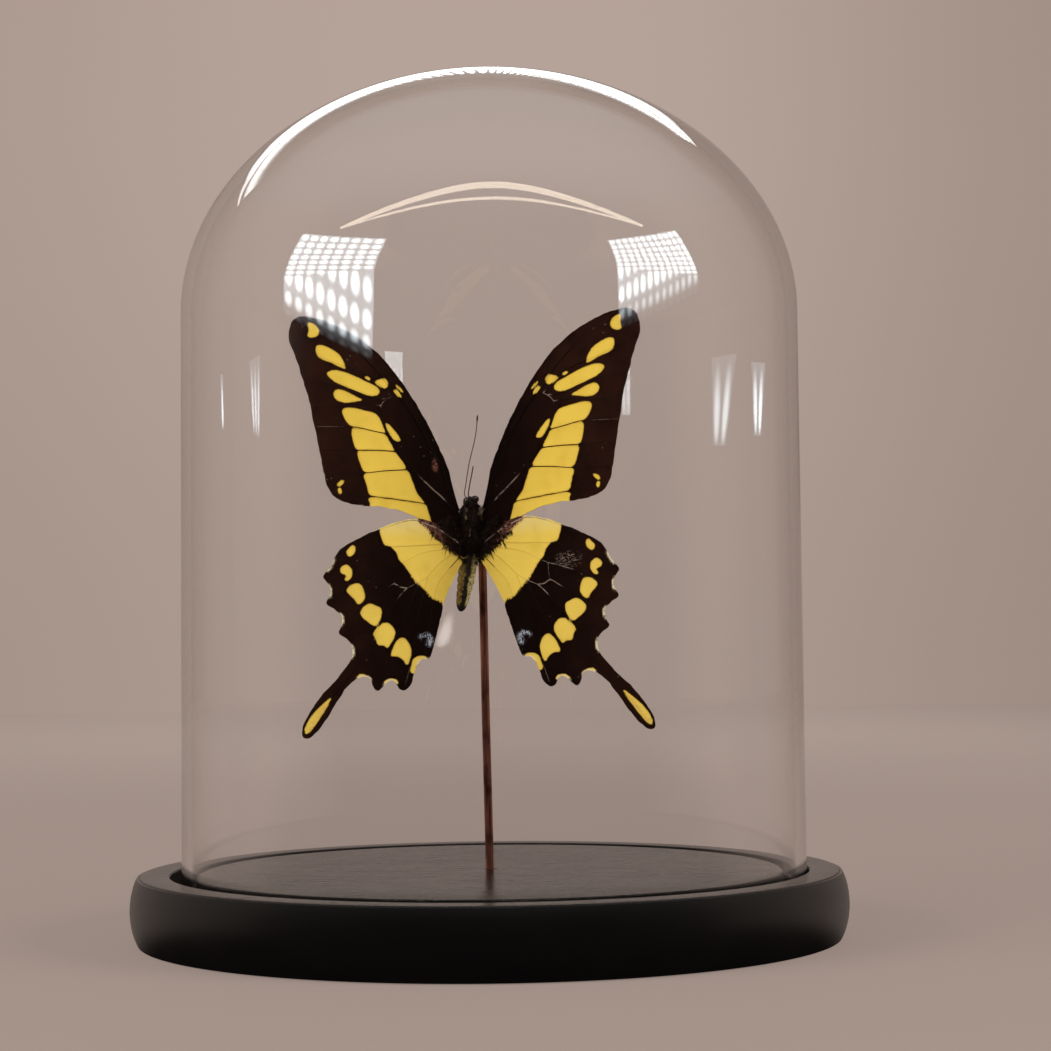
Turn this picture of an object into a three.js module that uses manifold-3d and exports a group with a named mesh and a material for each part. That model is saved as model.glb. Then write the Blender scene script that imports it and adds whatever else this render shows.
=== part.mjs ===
// A swallowtail butterfly on a thin metal rod, standing on a turned wooden base
// under a glass dome. Millimetres, +Z up, origin in the middle of the base's underside.
// The butterfly's back faces -Y and its head points up.
import * as THREE from 'three';
import { mergeVertices } from 'three/addons/utils/BufferGeometryUtils.js';
import Module from 'manifold-3d';

const wasm = await Module();
wasm.setup();

// ---- Driving dimensions ----

const GAP = 0.3; // air left between pieces that touch
const ROUND = 64; // sides of the base and of the dome

const BASE_HEIGHT = 16;
const BASE_SIDE = { centre: [80, 8.2], radii: [6, 11] }; // ellipse that rounds the side
const GROOVE = { inner: 70.4, outer: 76.6, depth: 4 };
const ROD_HOLE = { radius: 1.4, depth: 7.7 };

const DOME = { radius: 75, wall: 2.5, height: 197.3, capHeight: 59.4, offset: 1.1 };

const ROD = { radius: 1, topX: -1.4, topZ: 99.5 };

// The butterfly's own frame: its origin is in the thorax, between the wing hinges.
const BUTTERFLY_PLACE = [-3.8, -5.3, 97.8];
const BUTTERFLY_TILT = THREE.MathUtils.degToRad(-1);

const WING_THICKNESS = 0.4;
// Each pair of wings rises from the body in one shallow arc, steep at the hinge.
const WING_ARC = {
  radius: 225,
  hingeSlope: 40,
  innerSlope: 41,
  outerSlope: 27.5,
  step: 1.5,
  hingeX: 2.5,
};
const FOREWING_HINGE_Y = 0.5;
const HINDWING_HINGE_Y = -0.6;
// Both tails are drawn a little to +X: the shift grows with the depth below this height.
const TAIL_SWAY = { from: -10, perMillimetre: 0.022 };

// Wing edges seen from the front, as [distance from the body's axis, height] of the
// right wing, from the root along the leading edge and back along the inner edge.
const FOREWING_EDGE = [
  [2.5, 3.2], [3.2, 5.0], [4.1, 9.6], [5.2, 14.6], [7.6, 20.6], [11.1, 27.8],
  [15.4, 34.8], [19.8, 40.4], [24.8, 44.7], [30.7, 47.8], [35.5, 49.2], [38.4, 49.0],
  [40.1, 47.1], [40.4, 43.7], [39.2, 40.1], [38.1, 36.3], [36.8, 31.8], [35.9, 27.6],
  [35.2, 23.2], [34.4, 18.6], [33.6, 14.1], [32.5, 9.2], [29.9, 6.5], [25.4, 5.4],
  [21.2, 5.2], [16.0, 4.2], [11.2, 2.2], [6.5, -0.3], [2.4, -1.6],
];
const HINDWING_EDGE = [
  [1.8, -3.6], [3.6, -2.3], [5.4, -0.9], [7.1, 0.6], [9.4, 1.8], [12.3, 2.5],
  [15.2, 2.1], [17.7, 1.4], [21.4, -0.1], [24.9, -1.8], [28.2, -3.5], [30.2, -5.0],
  [31.5, -7.2], [32.5, -9.2], [34.0, -11.1], [33.3, -12.5], [32.5, -14.4], [32.8, -15.8],
  [33.7, -17.4], [32.1, -18.6], [30.6, -19.9], [30.2, -21.2], [30.7, -23.0], [31.2, -24.5],
  [29.4, -25.8], [28.5, -27.2], [28.2, -28.8], [29.0, -30.8], [31.7, -34.4], [35.7, -38.8],
  [38.9, -43.5], [40.2, -46.5], [39.7, -48.2], [37.8, -47.7], [34.8, -44.0], [31.2, -38.4],
  [28.5, -35.5], [26.2, -34.5], [24.5, -35.4], [23.9, -37.3], [23.1, -38.0], [21.9, -37.1],
  [20.7, -35.8], [19.3, -35.9], [18.4, -37.4], [17.3, -38.0], [15.8, -37.0], [14.8, -34.3],
  [14.1, -32.3], [12.9, -31.0], [11.3, -30.8], [10.3, -28.6], [8.9, -24.2], [7.8, -20.1],
  [7.2, -17.6], [5.3, -13.3], [3.1, -8.9], [1.8, -6.8],
];

const THORAX = { centre: [0, 1.9, -0.3], radii: [3.3, 3.2, 7.2] };
const HEAD = { centre: [0.15, 1.3, 6.7], radii: [1.9, 1.7, 1.6] };
const EYE = { spread: 1.3, centre: [0.15, 0.9, 7.0], radii: [0.9, 1.0, 1.05] };
const ABDOMEN = { root: [-0.2, 1.9, -5], axis: [-0.19, 0.05, -1] };
// [distance along the abdomen, radius]
const ABDOMEN_PROFILE = [
  [0, 0], [0, 1.9], [1.6, 2.1], [3.6, 1.98], [5.4, 2.05], [7.2, 2.05], [9.2, 1.8],
  [11.4, 1.55], [13.4, 1.28], [14.6, 0.8], [15.1, 0],
];

const LEG_RADIUS = 0.35;
// Folded legs of the right side, from the breast to the foot.
const LEGS = [
  [[1.0, 4.0, 4.8], [1.7, 4.7, 5.6], [1.4, 4.3, 7.0], [0.8, 3.4, 8.0]],
  [[1.2, 4.6, 2.6], [2.5, 5.0, 3.1], [2.4, 5.0, 4.9], [1.7, 4.6, 6.4]],
  [[0.4, 4.6, -1.2], [0.6, 5.2, -3.4], [0.0, 4.9, -6.6], [-0.5, 4.4, -9.6]],
];

const ANTENNA_RADIUS = 0.22;
const CLUB = { radius: 0.42, length: 1.5 };
const LONG_ANTENNA = [
  [-1.55, 0.9, 8.35], [-1.0, 0.7, 11.2], [-0.4, 0.4, 14.6], [0.3, 0.0, 17.6],
  [1.2, -0.5, 20.8], [1.8, -0.9, 23.6], [2.15, -1.2, 26.4],
];
const BROKEN_ANTENNA = [
  [-0.5, 0.8, 8.6], [-0.1, 0.5, 10.9], [0.4, 0.1, 13.1], [0.87, -0.3, 15.3],
];

// ---- Helpers ----

const rad = THREE.MathUtils.degToRad;

// Points on an elliptical arc, both ends included.
function arc(centre, radii, from, to, steps) {
  return Array.from({ length: steps + 1 }, (_, i) => {
    const angle = from + (to - from) * i / steps;
    return [centre[0] + radii[0] * Math.cos(angle), centre[1] + radii[1] * Math.sin(angle)];
  });
}

// A turned piece from its [radius, height] profile, standing along +Z.
function turned(profile, sides) {
  const points = profile.map(([r, z]) => new THREE.Vector2(r, z));
  return new THREE.LatheGeometry(points, sides).rotateX(Math.PI / 2);
}

function ellipsoid({ centre, radii }, around, along, grow = 0) {
  return new THREE.SphereGeometry(1, around, along)
    .rotateX(Math.PI / 2)
    .scale(...radii.map((r) => r + grow))
    .translate(...centre);
}

// A round rod of one thickness that follows a smooth curve.
function tube(points, radius, sides, steps) {
  const path = new THREE.CatmullRomCurve3(points.map((p) => new THREE.Vector3(...p)));
  const section = new THREE.Shape(
    arc([0, 0], [radius, radius], 0, 2 * Math.PI * (sides - 1) / sides, sides - 1)
      .map(([x, y]) => new THREE.Vector2(x, y)),
  );
  return new THREE.ExtrudeGeometry(section, { steps, extrudePath: path });
}

// Corner numbers without the triangles that have two corners in one place.
function wholeTriangles(index) {
  const kept = [];
  for (let i = 0; i < index.length; i += 3) {
    const [a, b, c] = [index[i], index[i + 1], index[i + 2]];
    if (a !== b && b !== c && c !== a) kept.push(a, b, c);
  }
  return kept;
}

function solid(geometry) {
  geometry.deleteAttribute('normal');
  geometry.deleteAttribute('uv');
  const merged = mergeVertices(geometry, 1e-4);
  return new wasm.Manifold(new wasm.Mesh({
    numProp: 3,
    vertProperties: new Float32Array(merged.attributes.position.array),
    triVerts: new Uint32Array(wholeTriangles(merged.index.array)),
  }));
}

function geometryOf(manifold) {
  const mesh = manifold.getMesh();
  const geometry = new THREE.BufferGeometry();
  geometry.setAttribute('position', new THREE.BufferAttribute(mesh.vertProperties, 3));
  geometry.setIndex(new THREE.BufferAttribute(mesh.triVerts, 1));
  return geometry;
}

function piece(name, geometry, material) {
  const mesh = new THREE.Mesh(geometry, material);
  mesh.name = name;
  return mesh;
}

// ---- Materials ----

const blackWood = () => new THREE.MeshStandardMaterial(
  { color: 0x17120f, roughness: 0.35, metalness: 0 },
);
const clearGlass = () => new THREE.MeshStandardMaterial(
  { color: 0xf2f4f3, roughness: 0.03, metalness: 0, transparent: true, opacity: 0.2 },
);
const copper = () => new THREE.MeshStandardMaterial(
  { color: 0x8a4a30, roughness: 0.35, metalness: 0.9 },
);
const darkHair = () => new THREE.MeshStandardMaterial(
  { color: 0x1c1511, roughness: 0.85, metalness: 0 },
);
const wingScales = () => new THREE.MeshStandardMaterial(
  { color: 0x2a1a12, roughness: 0.6, metalness: 0 },
);

// ---- Base, dome and rod ----

function baseGeometry() {
  const { centre, radii } = BASE_SIDE;
  const bottom = -Math.asin(centre[1] / radii[1]);
  const top = Math.asin((BASE_HEIGHT - centre[1]) / radii[1]);
  return turned([
    [0, 0],
    ...arc(centre, radii, bottom, top, 8),
    [GROOVE.outer, BASE_HEIGHT],
    [GROOVE.outer, BASE_HEIGHT - GROOVE.depth],
    [GROOVE.inner, BASE_HEIGHT - GROOVE.depth],
    [GROOVE.inner, BASE_HEIGHT],
    [ROD_HOLE.radius, BASE_HEIGHT],
    [ROD_HOLE.radius, BASE_HEIGHT - ROD_HOLE.depth],
    [0, BASE_HEIGHT - ROD_HOLE.depth],
  ], ROUND);
}

// The bell's outside runs up from a rounded lip, and its inside comes back down.
function domeGeometry() {
  const { radius, wall, height, capHeight } = DOME;
  const shoulder = height - capHeight;
  const lip = wall / 2;
  return turned([
    ...arc([0, shoulder], [radius - wall, capHeight - wall], Math.PI / 2, 0, 10),
    ...arc([radius - lip, lip], [lip, lip], -Math.PI, 0, 4),
    ...arc([0, shoulder], [radius, capHeight], 0, Math.PI / 2, 11),
  ], ROUND);
}

function rodMesh() {
  const foot = BASE_HEIGHT - ROD_HOLE.depth + GAP;
  const rise = ROD.topZ - foot;
  const length = Math.hypot(ROD.topX, rise);
  const geometry = new THREE.CylinderGeometry(ROD.radius, ROD.radius, length, 16)
    .rotateX(Math.PI / 2);
  const mesh = piece('support_rod', geometry, copper());
  mesh.position.set(ROD.topX / 2, 0, foot + rise / 2);
  mesh.rotation.y = Math.atan2(ROD.topX, rise);
  return mesh;
}

// ---- Butterfly ----

// A tall thin sheet bent along the wings' arc, on the side given by +1 or -1.
function wingSheet(side, hingeY) {
  const { radius, hingeSlope, innerSlope, outerSlope, step, hingeX } = WING_ARC;
  const centreX = hingeX + radius * Math.sin(rad(hingeSlope));
  const centreY = hingeY + radius * Math.cos(rad(hingeSlope));
  const count = Math.round((innerSlope - outerSlope) / step);
  const edge = (offset) => Array.from({ length: count + 1 }, (_, i) => {
    const slope = rad(innerSlope - step * i);
    const r = radius + offset;
    return new THREE.Vector2(side * (centreX - r * Math.sin(slope)), centreY - r * Math.cos(slope));
  });
  const half = WING_THICKNESS / 2;
  const section = new THREE.Shape([...edge(-half), ...edge(half).reverse()]);
  const span = 110;
  return new THREE.ExtrudeGeometry(section, { depth: span, bevelEnabled: false })
    .translate(0, 0, -span / 2);
}

// The wing's outline as a block that runs from behind the sheet to in front of it.
function outlineBlock(edge, side) {
  const sway = (z) => TAIL_SWAY.perMillimetre * Math.max(0, TAIL_SWAY.from - z);
  const points = edge.map(([x, z]) => new THREE.Vector2(side * x + sway(z), z));
  const shape = new THREE.Shape();
  shape.moveTo(points[0].x, points[0].y);
  shape.splineThru(points.slice(1));
  const behind = 3;
  const depth = 36;
  return new THREE.ExtrudeGeometry(shape, { depth, bevelEnabled: false, curveSegments: 2 })
    .rotateX(Math.PI / 2)
    .translate(0, behind, 0);
}

function wingMesh(name, edge, hingeY, side) {
  const wing = solid(wingSheet(side, hingeY))
    .intersect(solid(outlineBlock(edge, side)))
    .subtract(solid(ellipsoid(THORAX, 24, 16, GAP)))
    .subtract(solid(abdomenGeometry(GAP)));
  return piece(name, geometryOf(wing), wingScales());
}

function abdomenGeometry(grow = 0) {
  const profile = ABDOMEN_PROFILE.map(([s, r]) => [r > 0 ? r + grow : 0, s]);
  const axis = new THREE.Vector3(...ABDOMEN.axis).normalize();
  const turn = new THREE.Quaternion().setFromUnitVectors(new THREE.Vector3(0, 0, 1), axis);
  return turned(profile, 14).applyQuaternion(turn).translate(...ABDOMEN.root);
}

function bodyMesh() {
  const eyes = [-1, 1].map((side) => ellipsoid({
    centre: [EYE.centre[0] + side * EYE.spread, EYE.centre[1], EYE.centre[2]],
    radii: EYE.radii,
  }, 12, 8));
  const legs = LEGS.flatMap((leg) => [-1, 1].map((side) => {
    const points = leg.map(([x, y, z]) => [side * x, y, z]);
    return tube(points, LEG_RADIUS, 5, 6);
  }));
  const parts = [ellipsoid(HEAD, 14, 10), abdomenGeometry(), ...eyes, ...legs];
  const body = parts.reduce(
    (whole, part) => whole.add(solid(part)),
    solid(ellipsoid(THORAX, 18, 12)),
  );
  return piece('body', geometryOf(body), darkHair());
}

function longAntennaGeometry() {
  const end = new THREE.Vector3(...LONG_ANTENNA.at(-1));
  const before = new THREE.Vector3(...LONG_ANTENNA.at(-2));
  const direction = end.clone().sub(before).normalize();
  const turn = new THREE.Quaternion().setFromUnitVectors(new THREE.Vector3(0, 0, 1), direction);
  const club = ellipsoid({ centre: [0, 0, 0], radii: [CLUB.radius, CLUB.radius, CLUB.length] }, 8, 8)
    .applyQuaternion(turn)
    .translate(end.x, end.y, end.z);
  return geometryOf(solid(tube(LONG_ANTENNA, ANTENNA_RADIUS, 6, 16)).add(solid(club)));
}

function butterfly() {
  const group = new THREE.Group();
  group.add(
    bodyMesh(),
    wingMesh('forewing_left', FOREWING_EDGE, FOREWING_HINGE_Y, -1),
    wingMesh('forewing_right', FOREWING_EDGE, FOREWING_HINGE_Y, 1),
    wingMesh('hindwing_left', HINDWING_EDGE, HINDWING_HINGE_Y, -1),
    wingMesh('hindwing_right', HINDWING_EDGE, HINDWING_HINGE_Y, 1),
    piece('antenna_left', longAntennaGeometry(), darkHair()),
    piece('antenna_right', tube(BROKEN_ANTENNA, ANTENNA_RADIUS, 6, 8), darkHair()),
  );
  group.position.set(...BUTTERFLY_PLACE);
  group.rotation.y = BUTTERFLY_TILT;
  return group;
}

// ---- Assembly ----

const dome = piece('glass_dome', domeGeometry(), clearGlass());
dome.position.set(DOME.offset, 0, BASE_HEIGHT - GROOVE.depth + GAP);

const display = new THREE.Group();
display.add(piece('base', baseGeometry(), blackWood()), dome, rodMesh(), butterfly());

export default display;
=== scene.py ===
"""A swallowtail butterfly on a copper rod, on a black turned base under a glass dome."""
import math
import random
from contextlib import contextmanager

import bmesh
import bpy
import numpy as np
from mathutils import Matrix, Vector, noise


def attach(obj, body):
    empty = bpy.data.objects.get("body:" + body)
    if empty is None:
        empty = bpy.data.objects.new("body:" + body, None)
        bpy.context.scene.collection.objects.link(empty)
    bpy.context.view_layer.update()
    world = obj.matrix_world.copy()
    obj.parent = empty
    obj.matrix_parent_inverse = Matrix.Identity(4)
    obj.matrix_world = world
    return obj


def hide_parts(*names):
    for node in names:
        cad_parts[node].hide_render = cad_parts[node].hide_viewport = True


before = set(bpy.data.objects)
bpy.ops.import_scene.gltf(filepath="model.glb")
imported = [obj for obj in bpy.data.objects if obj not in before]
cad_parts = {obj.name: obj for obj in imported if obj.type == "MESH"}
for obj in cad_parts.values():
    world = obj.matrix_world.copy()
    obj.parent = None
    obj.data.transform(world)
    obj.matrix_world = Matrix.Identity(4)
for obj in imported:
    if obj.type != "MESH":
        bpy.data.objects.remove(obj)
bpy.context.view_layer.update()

# ---- Base ----
# A disc of wood turned on a lathe, stained black and given a satin lacquer. A ring
# groove in its top takes the lip of the dome, and a small hole in the middle the rod.
MM = 0.001
UP = (0, 0, 1)
BASE_TOP, UNDERSIDE_RECESS = 16.0, 0.25
SIDE_CENTRE, SIDE_RADII = (80, 8.2), (6, 11)
GROOVE_INNER, GROOVE_OUTER, GROOVE_DEPTH = 70.4, 76.6, 4.0
ROD_HOLE_RADIUS, ROD_HOLE_DEPTH = 1.4, 7.7


def deselect():
    """Leaves object mode with nothing selected."""
    if bpy.context.object and bpy.context.object.mode != "OBJECT":
        bpy.ops.object.mode_set(mode="OBJECT")
    bpy.ops.object.select_all(action="DESELECT")


def pick(*pieces):
    """Selects these pieces alone, and makes the first one active."""
    deselect()
    for piece in pieces:
        piece.select_set(True)
    bpy.context.view_layer.objects.active = pieces[0]


def named(name):
    """Names the piece that was just made, and hands it over."""
    piece = bpy.context.object
    piece.name = piece.data.name = name
    return piece


@contextmanager
def editing():
    """Keeps the active piece in edit mode."""
    bpy.ops.object.mode_set(mode="EDIT")
    yield
    bpy.ops.object.mode_set(mode="OBJECT")


def select_all():
    bpy.ops.mesh.select_all(action="SELECT")


def select_where(kind, test):
    """In edit mode, selects the active piece's "faces" or "edges" that pass a test, and no others."""
    bpy.ops.mesh.select_all(action="DESELECT")
    data = bpy.context.object.data
    mesh = bmesh.from_edit_mesh(data)
    for part in {"faces": mesh.faces, "edges": mesh.edges}[kind]:
        part.select_set(test(part))
    bmesh.update_edit_mesh(data)


def score(place, normal):
    """In edit mode, cuts every face that a plane crosses."""
    select_all()
    bpy.ops.mesh.bisect(plane_co=place, plane_no=normal)


def arc(centre, radii, start, end, steps):
    """Points of an elliptical arc, given in degrees, both ends included."""
    angles = [math.radians(start + (end - start) * i / steps) for i in range(steps + 1)]
    return [(centre[0] + radii[0] * math.cos(a), centre[1] + radii[1] * math.sin(a)) for a in angles]


def turned(name, profile, steps, centre_x=0.0):
    """Spins a profile of (radius, height) points in mm, open at the axis, about an upright axis."""
    deselect()
    bpy.ops.mesh.primitive_circle_add(vertices=len(profile), radius=0.01)
    piece = named(name)
    for vertex, (radius, height) in zip(piece.data.vertices, profile):
        vertex.co = (centre_x * MM + radius * MM, 0, height * MM)
    with editing():
        mesh = bmesh.from_edit_mesh(piece.data)
        mesh.verts.ensure_lookup_table()
        mesh.edges.remove(mesh.edges.get((mesh.verts[0], mesh.verts[-1])))
        bmesh.update_edit_mesh(piece.data)
        select_all()
        bpy.ops.mesh.spin(steps=steps, angle=math.tau, center=(centre_x * MM, 0, 0), axis=UP)
        select_all()
        bpy.ops.mesh.remove_doubles(threshold=0.002 * MM)
        bpy.ops.mesh.normals_make_consistent(inside=False)
    return piece


def smooth(piece, degrees=35):
    """Shades a piece smooth, with creases where faces meet at more than this angle."""
    pick(piece)
    bpy.ops.object.shade_smooth_by_angle(angle=math.radians(degrees))


class Wire:
    """A value in a material, usable in sums and products."""

    def __init__(self, finish, socket):
        self.finish, self.socket = finish, socket

    def maths(self, operation, *others, swapped=False):
        values = [self, *others]
        if swapped:
            values.reverse()
        return self.finish.node("ShaderNodeMath", {"operation": operation}, dict(enumerate(values)))

    def __add__(self, other):
        return self.maths("ADD", other)

    def __sub__(self, other):
        return self.maths("SUBTRACT", other)

    def __rsub__(self, other):
        return self.maths("SUBTRACT", other, swapped=True)

    def __mul__(self, other):
        return self.maths("MULTIPLY", other)

    def __truediv__(self, other):
        return self.maths("DIVIDE", other)

    def __pow__(self, other):
        return self.maths("POWER", other)

    __radd__ = __add__
    __rmul__ = __mul__

    def ramp(self, low, high):
        """0 below low, 1 above high, and a soft step between them."""
        settings = {"interpolation_type": "SMOOTHSTEP"}
        return self.finish.node("ShaderNodeMapRange", settings, {0: self, 1: low, 2: high})

    def most(self, other):
        return self.maths("MAXIMUM", other)

    def least(self, other):
        return self.maths("MINIMUM", other)


class Nodes:
    """A node tree, and the ways to add to it."""

    def __init__(self, tree):
        self.tree = tree

    def node(self, kind, settings=None, inputs=None, out=0):
        """A node of this kind with its settings and its sockets' values or wires."""
        made = self.tree.nodes.new(kind)
        for key, value in (settings or {}).items():
            setattr(made, key, value)
        for key, value in (inputs or {}).items():
            if isinstance(value, Wire):
                self.tree.links.new(value.socket, made.inputs[key])
            else:
                made.inputs[key].default_value = value
        return Wire(self, made.outputs[out])

    def blend(self, share, first, second):
        """Mixes two colours, or two wires of colour, by share."""
        settings = {"data_type": "RGBA"}
        sockets = {0: share, 6: padded(first), 7: padded(second)}
        return self.node("ShaderNodeMix", settings, sockets, out=2)

    def parts(self, vector, *axes):
        """These of the three numbers, counted from 0, of a place or a direction."""
        return [self.node("ShaderNodeSeparateXYZ", {}, {0: vector}, axis) for axis in axes]

    def mirrored(self):
        """1 where something shiny shows this, and 0 where it is seen straight or through glass."""
        return self.node("ShaderNodeLightPath", out="Glossy Depth").least(1)


class Finish(Nodes):
    """One material: the nodes of a real piece's surface."""

    def __init__(self, name, colour=None, **fixed):
        self.material = bpy.data.materials.new(name)
        self.material.use_nodes = True
        super().__init__(self.material.node_tree)
        self.shader = self.tree.nodes["Principled BSDF"]
        for socket, value in fixed.items():
            self.shader.inputs[socket.replace("_", " ")].default_value = value
        if colour:
            self.shader.inputs["Base Color"].default_value = padded(colour)

    def place(self, stretch=(1, 1, 1)):
        """The place on the object in mm, squeezed along each axis by stretch."""
        where = self.node("ShaderNodeTexCoord", out="Object")
        scale = tuple(s / MM for s in stretch)
        return self.node("ShaderNodeMapping", {}, {"Vector": where, "Scale": scale})

    def mottle(self, size, stretch=(1, 1, 1), detail=2.0, roughness=0.5):
        """Soft noise from 0 to 1 whose lumps are about size mm."""
        inputs = {"Vector": self.place(stretch), "Scale": 1 / size, "Detail": detail, "Roughness": roughness}
        return self.node("ShaderNodeTexNoise", {}, inputs)

    def grains(self, size, stretch=(1, 1, 1), out="Color"):
        """Random cells of about size mm."""
        inputs = {"Vector": self.place(stretch), "Scale": 1 / size}
        return self.node("ShaderNodeTexVoronoi", {}, inputs, out)

    def noted(self, name):
        """A number that the mesh carries at each point."""
        return self.node("ShaderNodeAttribute", {"attribute_name": name}, out="Fac")

    def relief(self, height, depth):
        """Leads a height from 0 to 1 to the surface as a relief of depth mm."""
        bump = self.node("ShaderNodeBump", {}, {"Height": height, "Distance": depth * MM, "Strength": 1.0})
        self.feed("Normal", bump)

    def feed(self, socket, value):
        self.tree.links.new(value.socket, self.shader.inputs[socket])

    def show(self, share, first, second):
        """Shows the first shader, and the second one where share is 1."""
        seen = self.node("ShaderNodeMixShader", {}, {0: share, 1: first, 2: second})
        self.tree.links.new(seen.socket, self.tree.nodes["Material Output"].inputs["Surface"])

    def put_on(self, *pieces):
        for piece in pieces:
            dress(piece, self)


def padded(colour):
    """A colour with its opacity, or a wire as it is."""
    return colour if isinstance(colour, Wire) else (*colour, 1.0)


def dress(piece, *finishes):
    """Gives a piece these finishes, in this order, and no others."""
    piece.data.materials.clear()
    for finish in finishes:
        piece.data.materials.append(finish.material)


def finished(piece, slot, *nodes):
    """Hands a piece to the frame, in place of these nodes."""
    if nodes:
        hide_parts(*nodes)
    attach(piece, "root")


EDGE, CORNER, HOLE_EDGE = 0.5, 0.3, 0.2
groove_floor, hole_floor = BASE_TOP - GROOVE_DEPTH, BASE_TOP - ROD_HOLE_DEPTH
side_foot = math.degrees(math.asin(SIDE_CENTRE[1] / SIDE_RADII[1]))
side_top = math.degrees(math.asin((BASE_TOP - SIDE_CENTRE[1] - 0.35) / SIDE_RADII[1]))
base = turned("base_turned", [
    (0, UNDERSIDE_RECESS), (55, UNDERSIDE_RECESS), (56, 0), (73.4, 0),
    *arc(SIDE_CENTRE, SIDE_RADII, 2 - side_foot, side_top, 18),
    *arc((83.3, 15.2), (0.8, 0.8), 35, 90, 4),
    *arc((GROOVE_OUTER + EDGE, BASE_TOP - EDGE), (EDGE, EDGE), 90, 180, 4),
    (GROOVE_OUTER, groove_floor + CORNER), (GROOVE_OUTER - CORNER, groove_floor),
    (GROOVE_INNER + CORNER, groove_floor), (GROOVE_INNER, groove_floor + CORNER),
    *arc((GROOVE_INNER - EDGE, BASE_TOP - EDGE), (EDGE, EDGE), 0, 90, 4),
    (50, BASE_TOP), (25, BASE_TOP), (ROD_HOLE_RADIUS + HOLE_EDGE, BASE_TOP),
    (ROD_HOLE_RADIUS, BASE_TOP - HOLE_EDGE), (ROD_HOLE_RADIUS, hole_floor), (0, hole_floor),
], 160)
smooth(base)

# The grain runs along X. Dust and lint lie only on the level faces.
lacquer = Finish("black_lacquered_wood", IOR=1.45, Specular_IOR_Level=0.50,
                 Specular_Tint=(0.89, 0.96, 1.0, 1))
level = lacquer.parts(lacquer.node("ShaderNodeNewGeometry", out="Normal"), 2)[0].ramp(0.8, 0.98)
pores = lacquer.mottle(0.35, (0.06, 1, 1), 4).ramp(0.56, 0.72)
clouds = lacquer.mottle(14, (0.5, 1, 1), 3)
dust = level * lacquer.grains(0.9, out="Distance").ramp(0.14, 0.06)
dust = dust * lacquer.mottle(6, detail=1).ramp(0.52, 0.7)
lint = level * lacquer.mottle(1.4, (0.35, 1, 1), 3).ramp(0.70, 0.76)
lint = lint * lacquer.mottle(25, detail=1).ramp(0.5, 0.6)
tone = lacquer.blend(clouds, (0.0014, 0.0012, 0.0012), (0.0034, 0.0028, 0.0027))
tone = lacquer.blend(pores * 0.6, tone, (0.0012, 0.0011, 0.0011))
tone = lacquer.blend((dust * 0.5).most(lint * 0.15), tone, (0.22, 0.21, 0.20))
lacquer.feed("Base Color", tone)
lacquer.feed("Roughness", 0.30 - level * 0.10 + clouds * 0.08 + pores * 0.10 + dust * 0.25)
lacquer.relief(pores * -0.4 + lacquer.mottle(6.0, (0.3, 1, 1), 1) * 0.3 + dust * 0.3, 0.010)
lacquer.put_on(base)
finished(base, "base_wood", "base")

# ---- Glass dome ----
# One blown bell of clear glass with a fire-polished lip. It stands loose in the groove,
# and its wall is 2.5 mm thick with the faint waves of blown glass.
DOME_RADIUS, DOME_WALL, DOME_HEIGHT, DOME_CAP = 75.0, 2.5, 197.3, 59.4
DOME_LIP, DOME_X = 12.3, 1.1
WALL_STEPS = (14, 14.4, 15, 30, 50, 70, 90, 110, 130)
shoulder = DOME_LIP + DOME_HEIGHT - DOME_CAP
lip = DOME_WALL / 2
inner = DOME_RADIUS - DOME_WALL
dome = turned("dome_blown_glass", [
    *arc((0, shoulder), (inner, DOME_CAP - DOME_WALL), 90, 0, 44),
    *[(inner, z) for z in reversed(WALL_STEPS)],
    *arc((DOME_RADIUS - lip, DOME_LIP + lip), (lip, lip), -180, 0, 10),
    *[(DOME_RADIUS, z) for z in WALL_STEPS],
    *arc((0, shoulder), (DOME_RADIUS, DOME_CAP), 0, 90, 44),
], 160, DOME_X)
smooth(dome, 60)

glass = Finish("blown_clear_glass", Roughness=0.0, IOR=1.47, Transmission_Weight=1.0)
grazing = glass.node("ShaderNodeLayerWeight", {}, {"Blend": 0.5}, out="Facing")
clear_tint, edge_tint = (0.995, 0.995, 0.995), (0.80, 0.735, 0.655)
glass.feed("Base Color", glass.blend(grazing.ramp(0.55, 0.98), clear_tint, edge_tint))
glass.relief(glass.mottle(38, (1, 1, 0.5), 1), 0.05)
# Lamplight passes straight through, so that the dome throws no dark shadow.
lamp_ray = glass.node("ShaderNodeLightPath", out="Is Shadow Ray")
clear = glass.node("ShaderNodeBsdfTransparent", {}, {"Color": (0.93, 0.93, 0.925, 1)})
glass.show(lamp_ray, Wire(glass, glass.shader.outputs[0]), clear)
glass.put_on(dome)
finished(dome, "dome_glass", "glass_dome")

# ---- Rod ----
# A straight length of copper wire rod, 2 mm thick. Its foot is glued in the hole of
# the base, and the butterfly's breast is glued to its sawn top.
ROD_FOOT, ROD_TOP = Vector((0, 0, 8.6)), Vector((-1.4, 0, 99.5))
ROD_RADIUS, ROD_KINK = 1.0, 0.05
half = (ROD_TOP - ROD_FOOT).length / 2 * MM
deselect()
bpy.ops.mesh.primitive_cylinder_add(vertices=32, radius=ROD_RADIUS * MM, depth=half * 2)
rod = named("rod_copper_wire")


def on_end_rim(corner):
    """Whether a corner of the upright wire lies on the rim of one of its ends."""
    return abs(abs(corner.co.z) - half) < 0.01 * MM and corner.co.xy.length > 0.99 * ROD_RADIUS * MM


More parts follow.
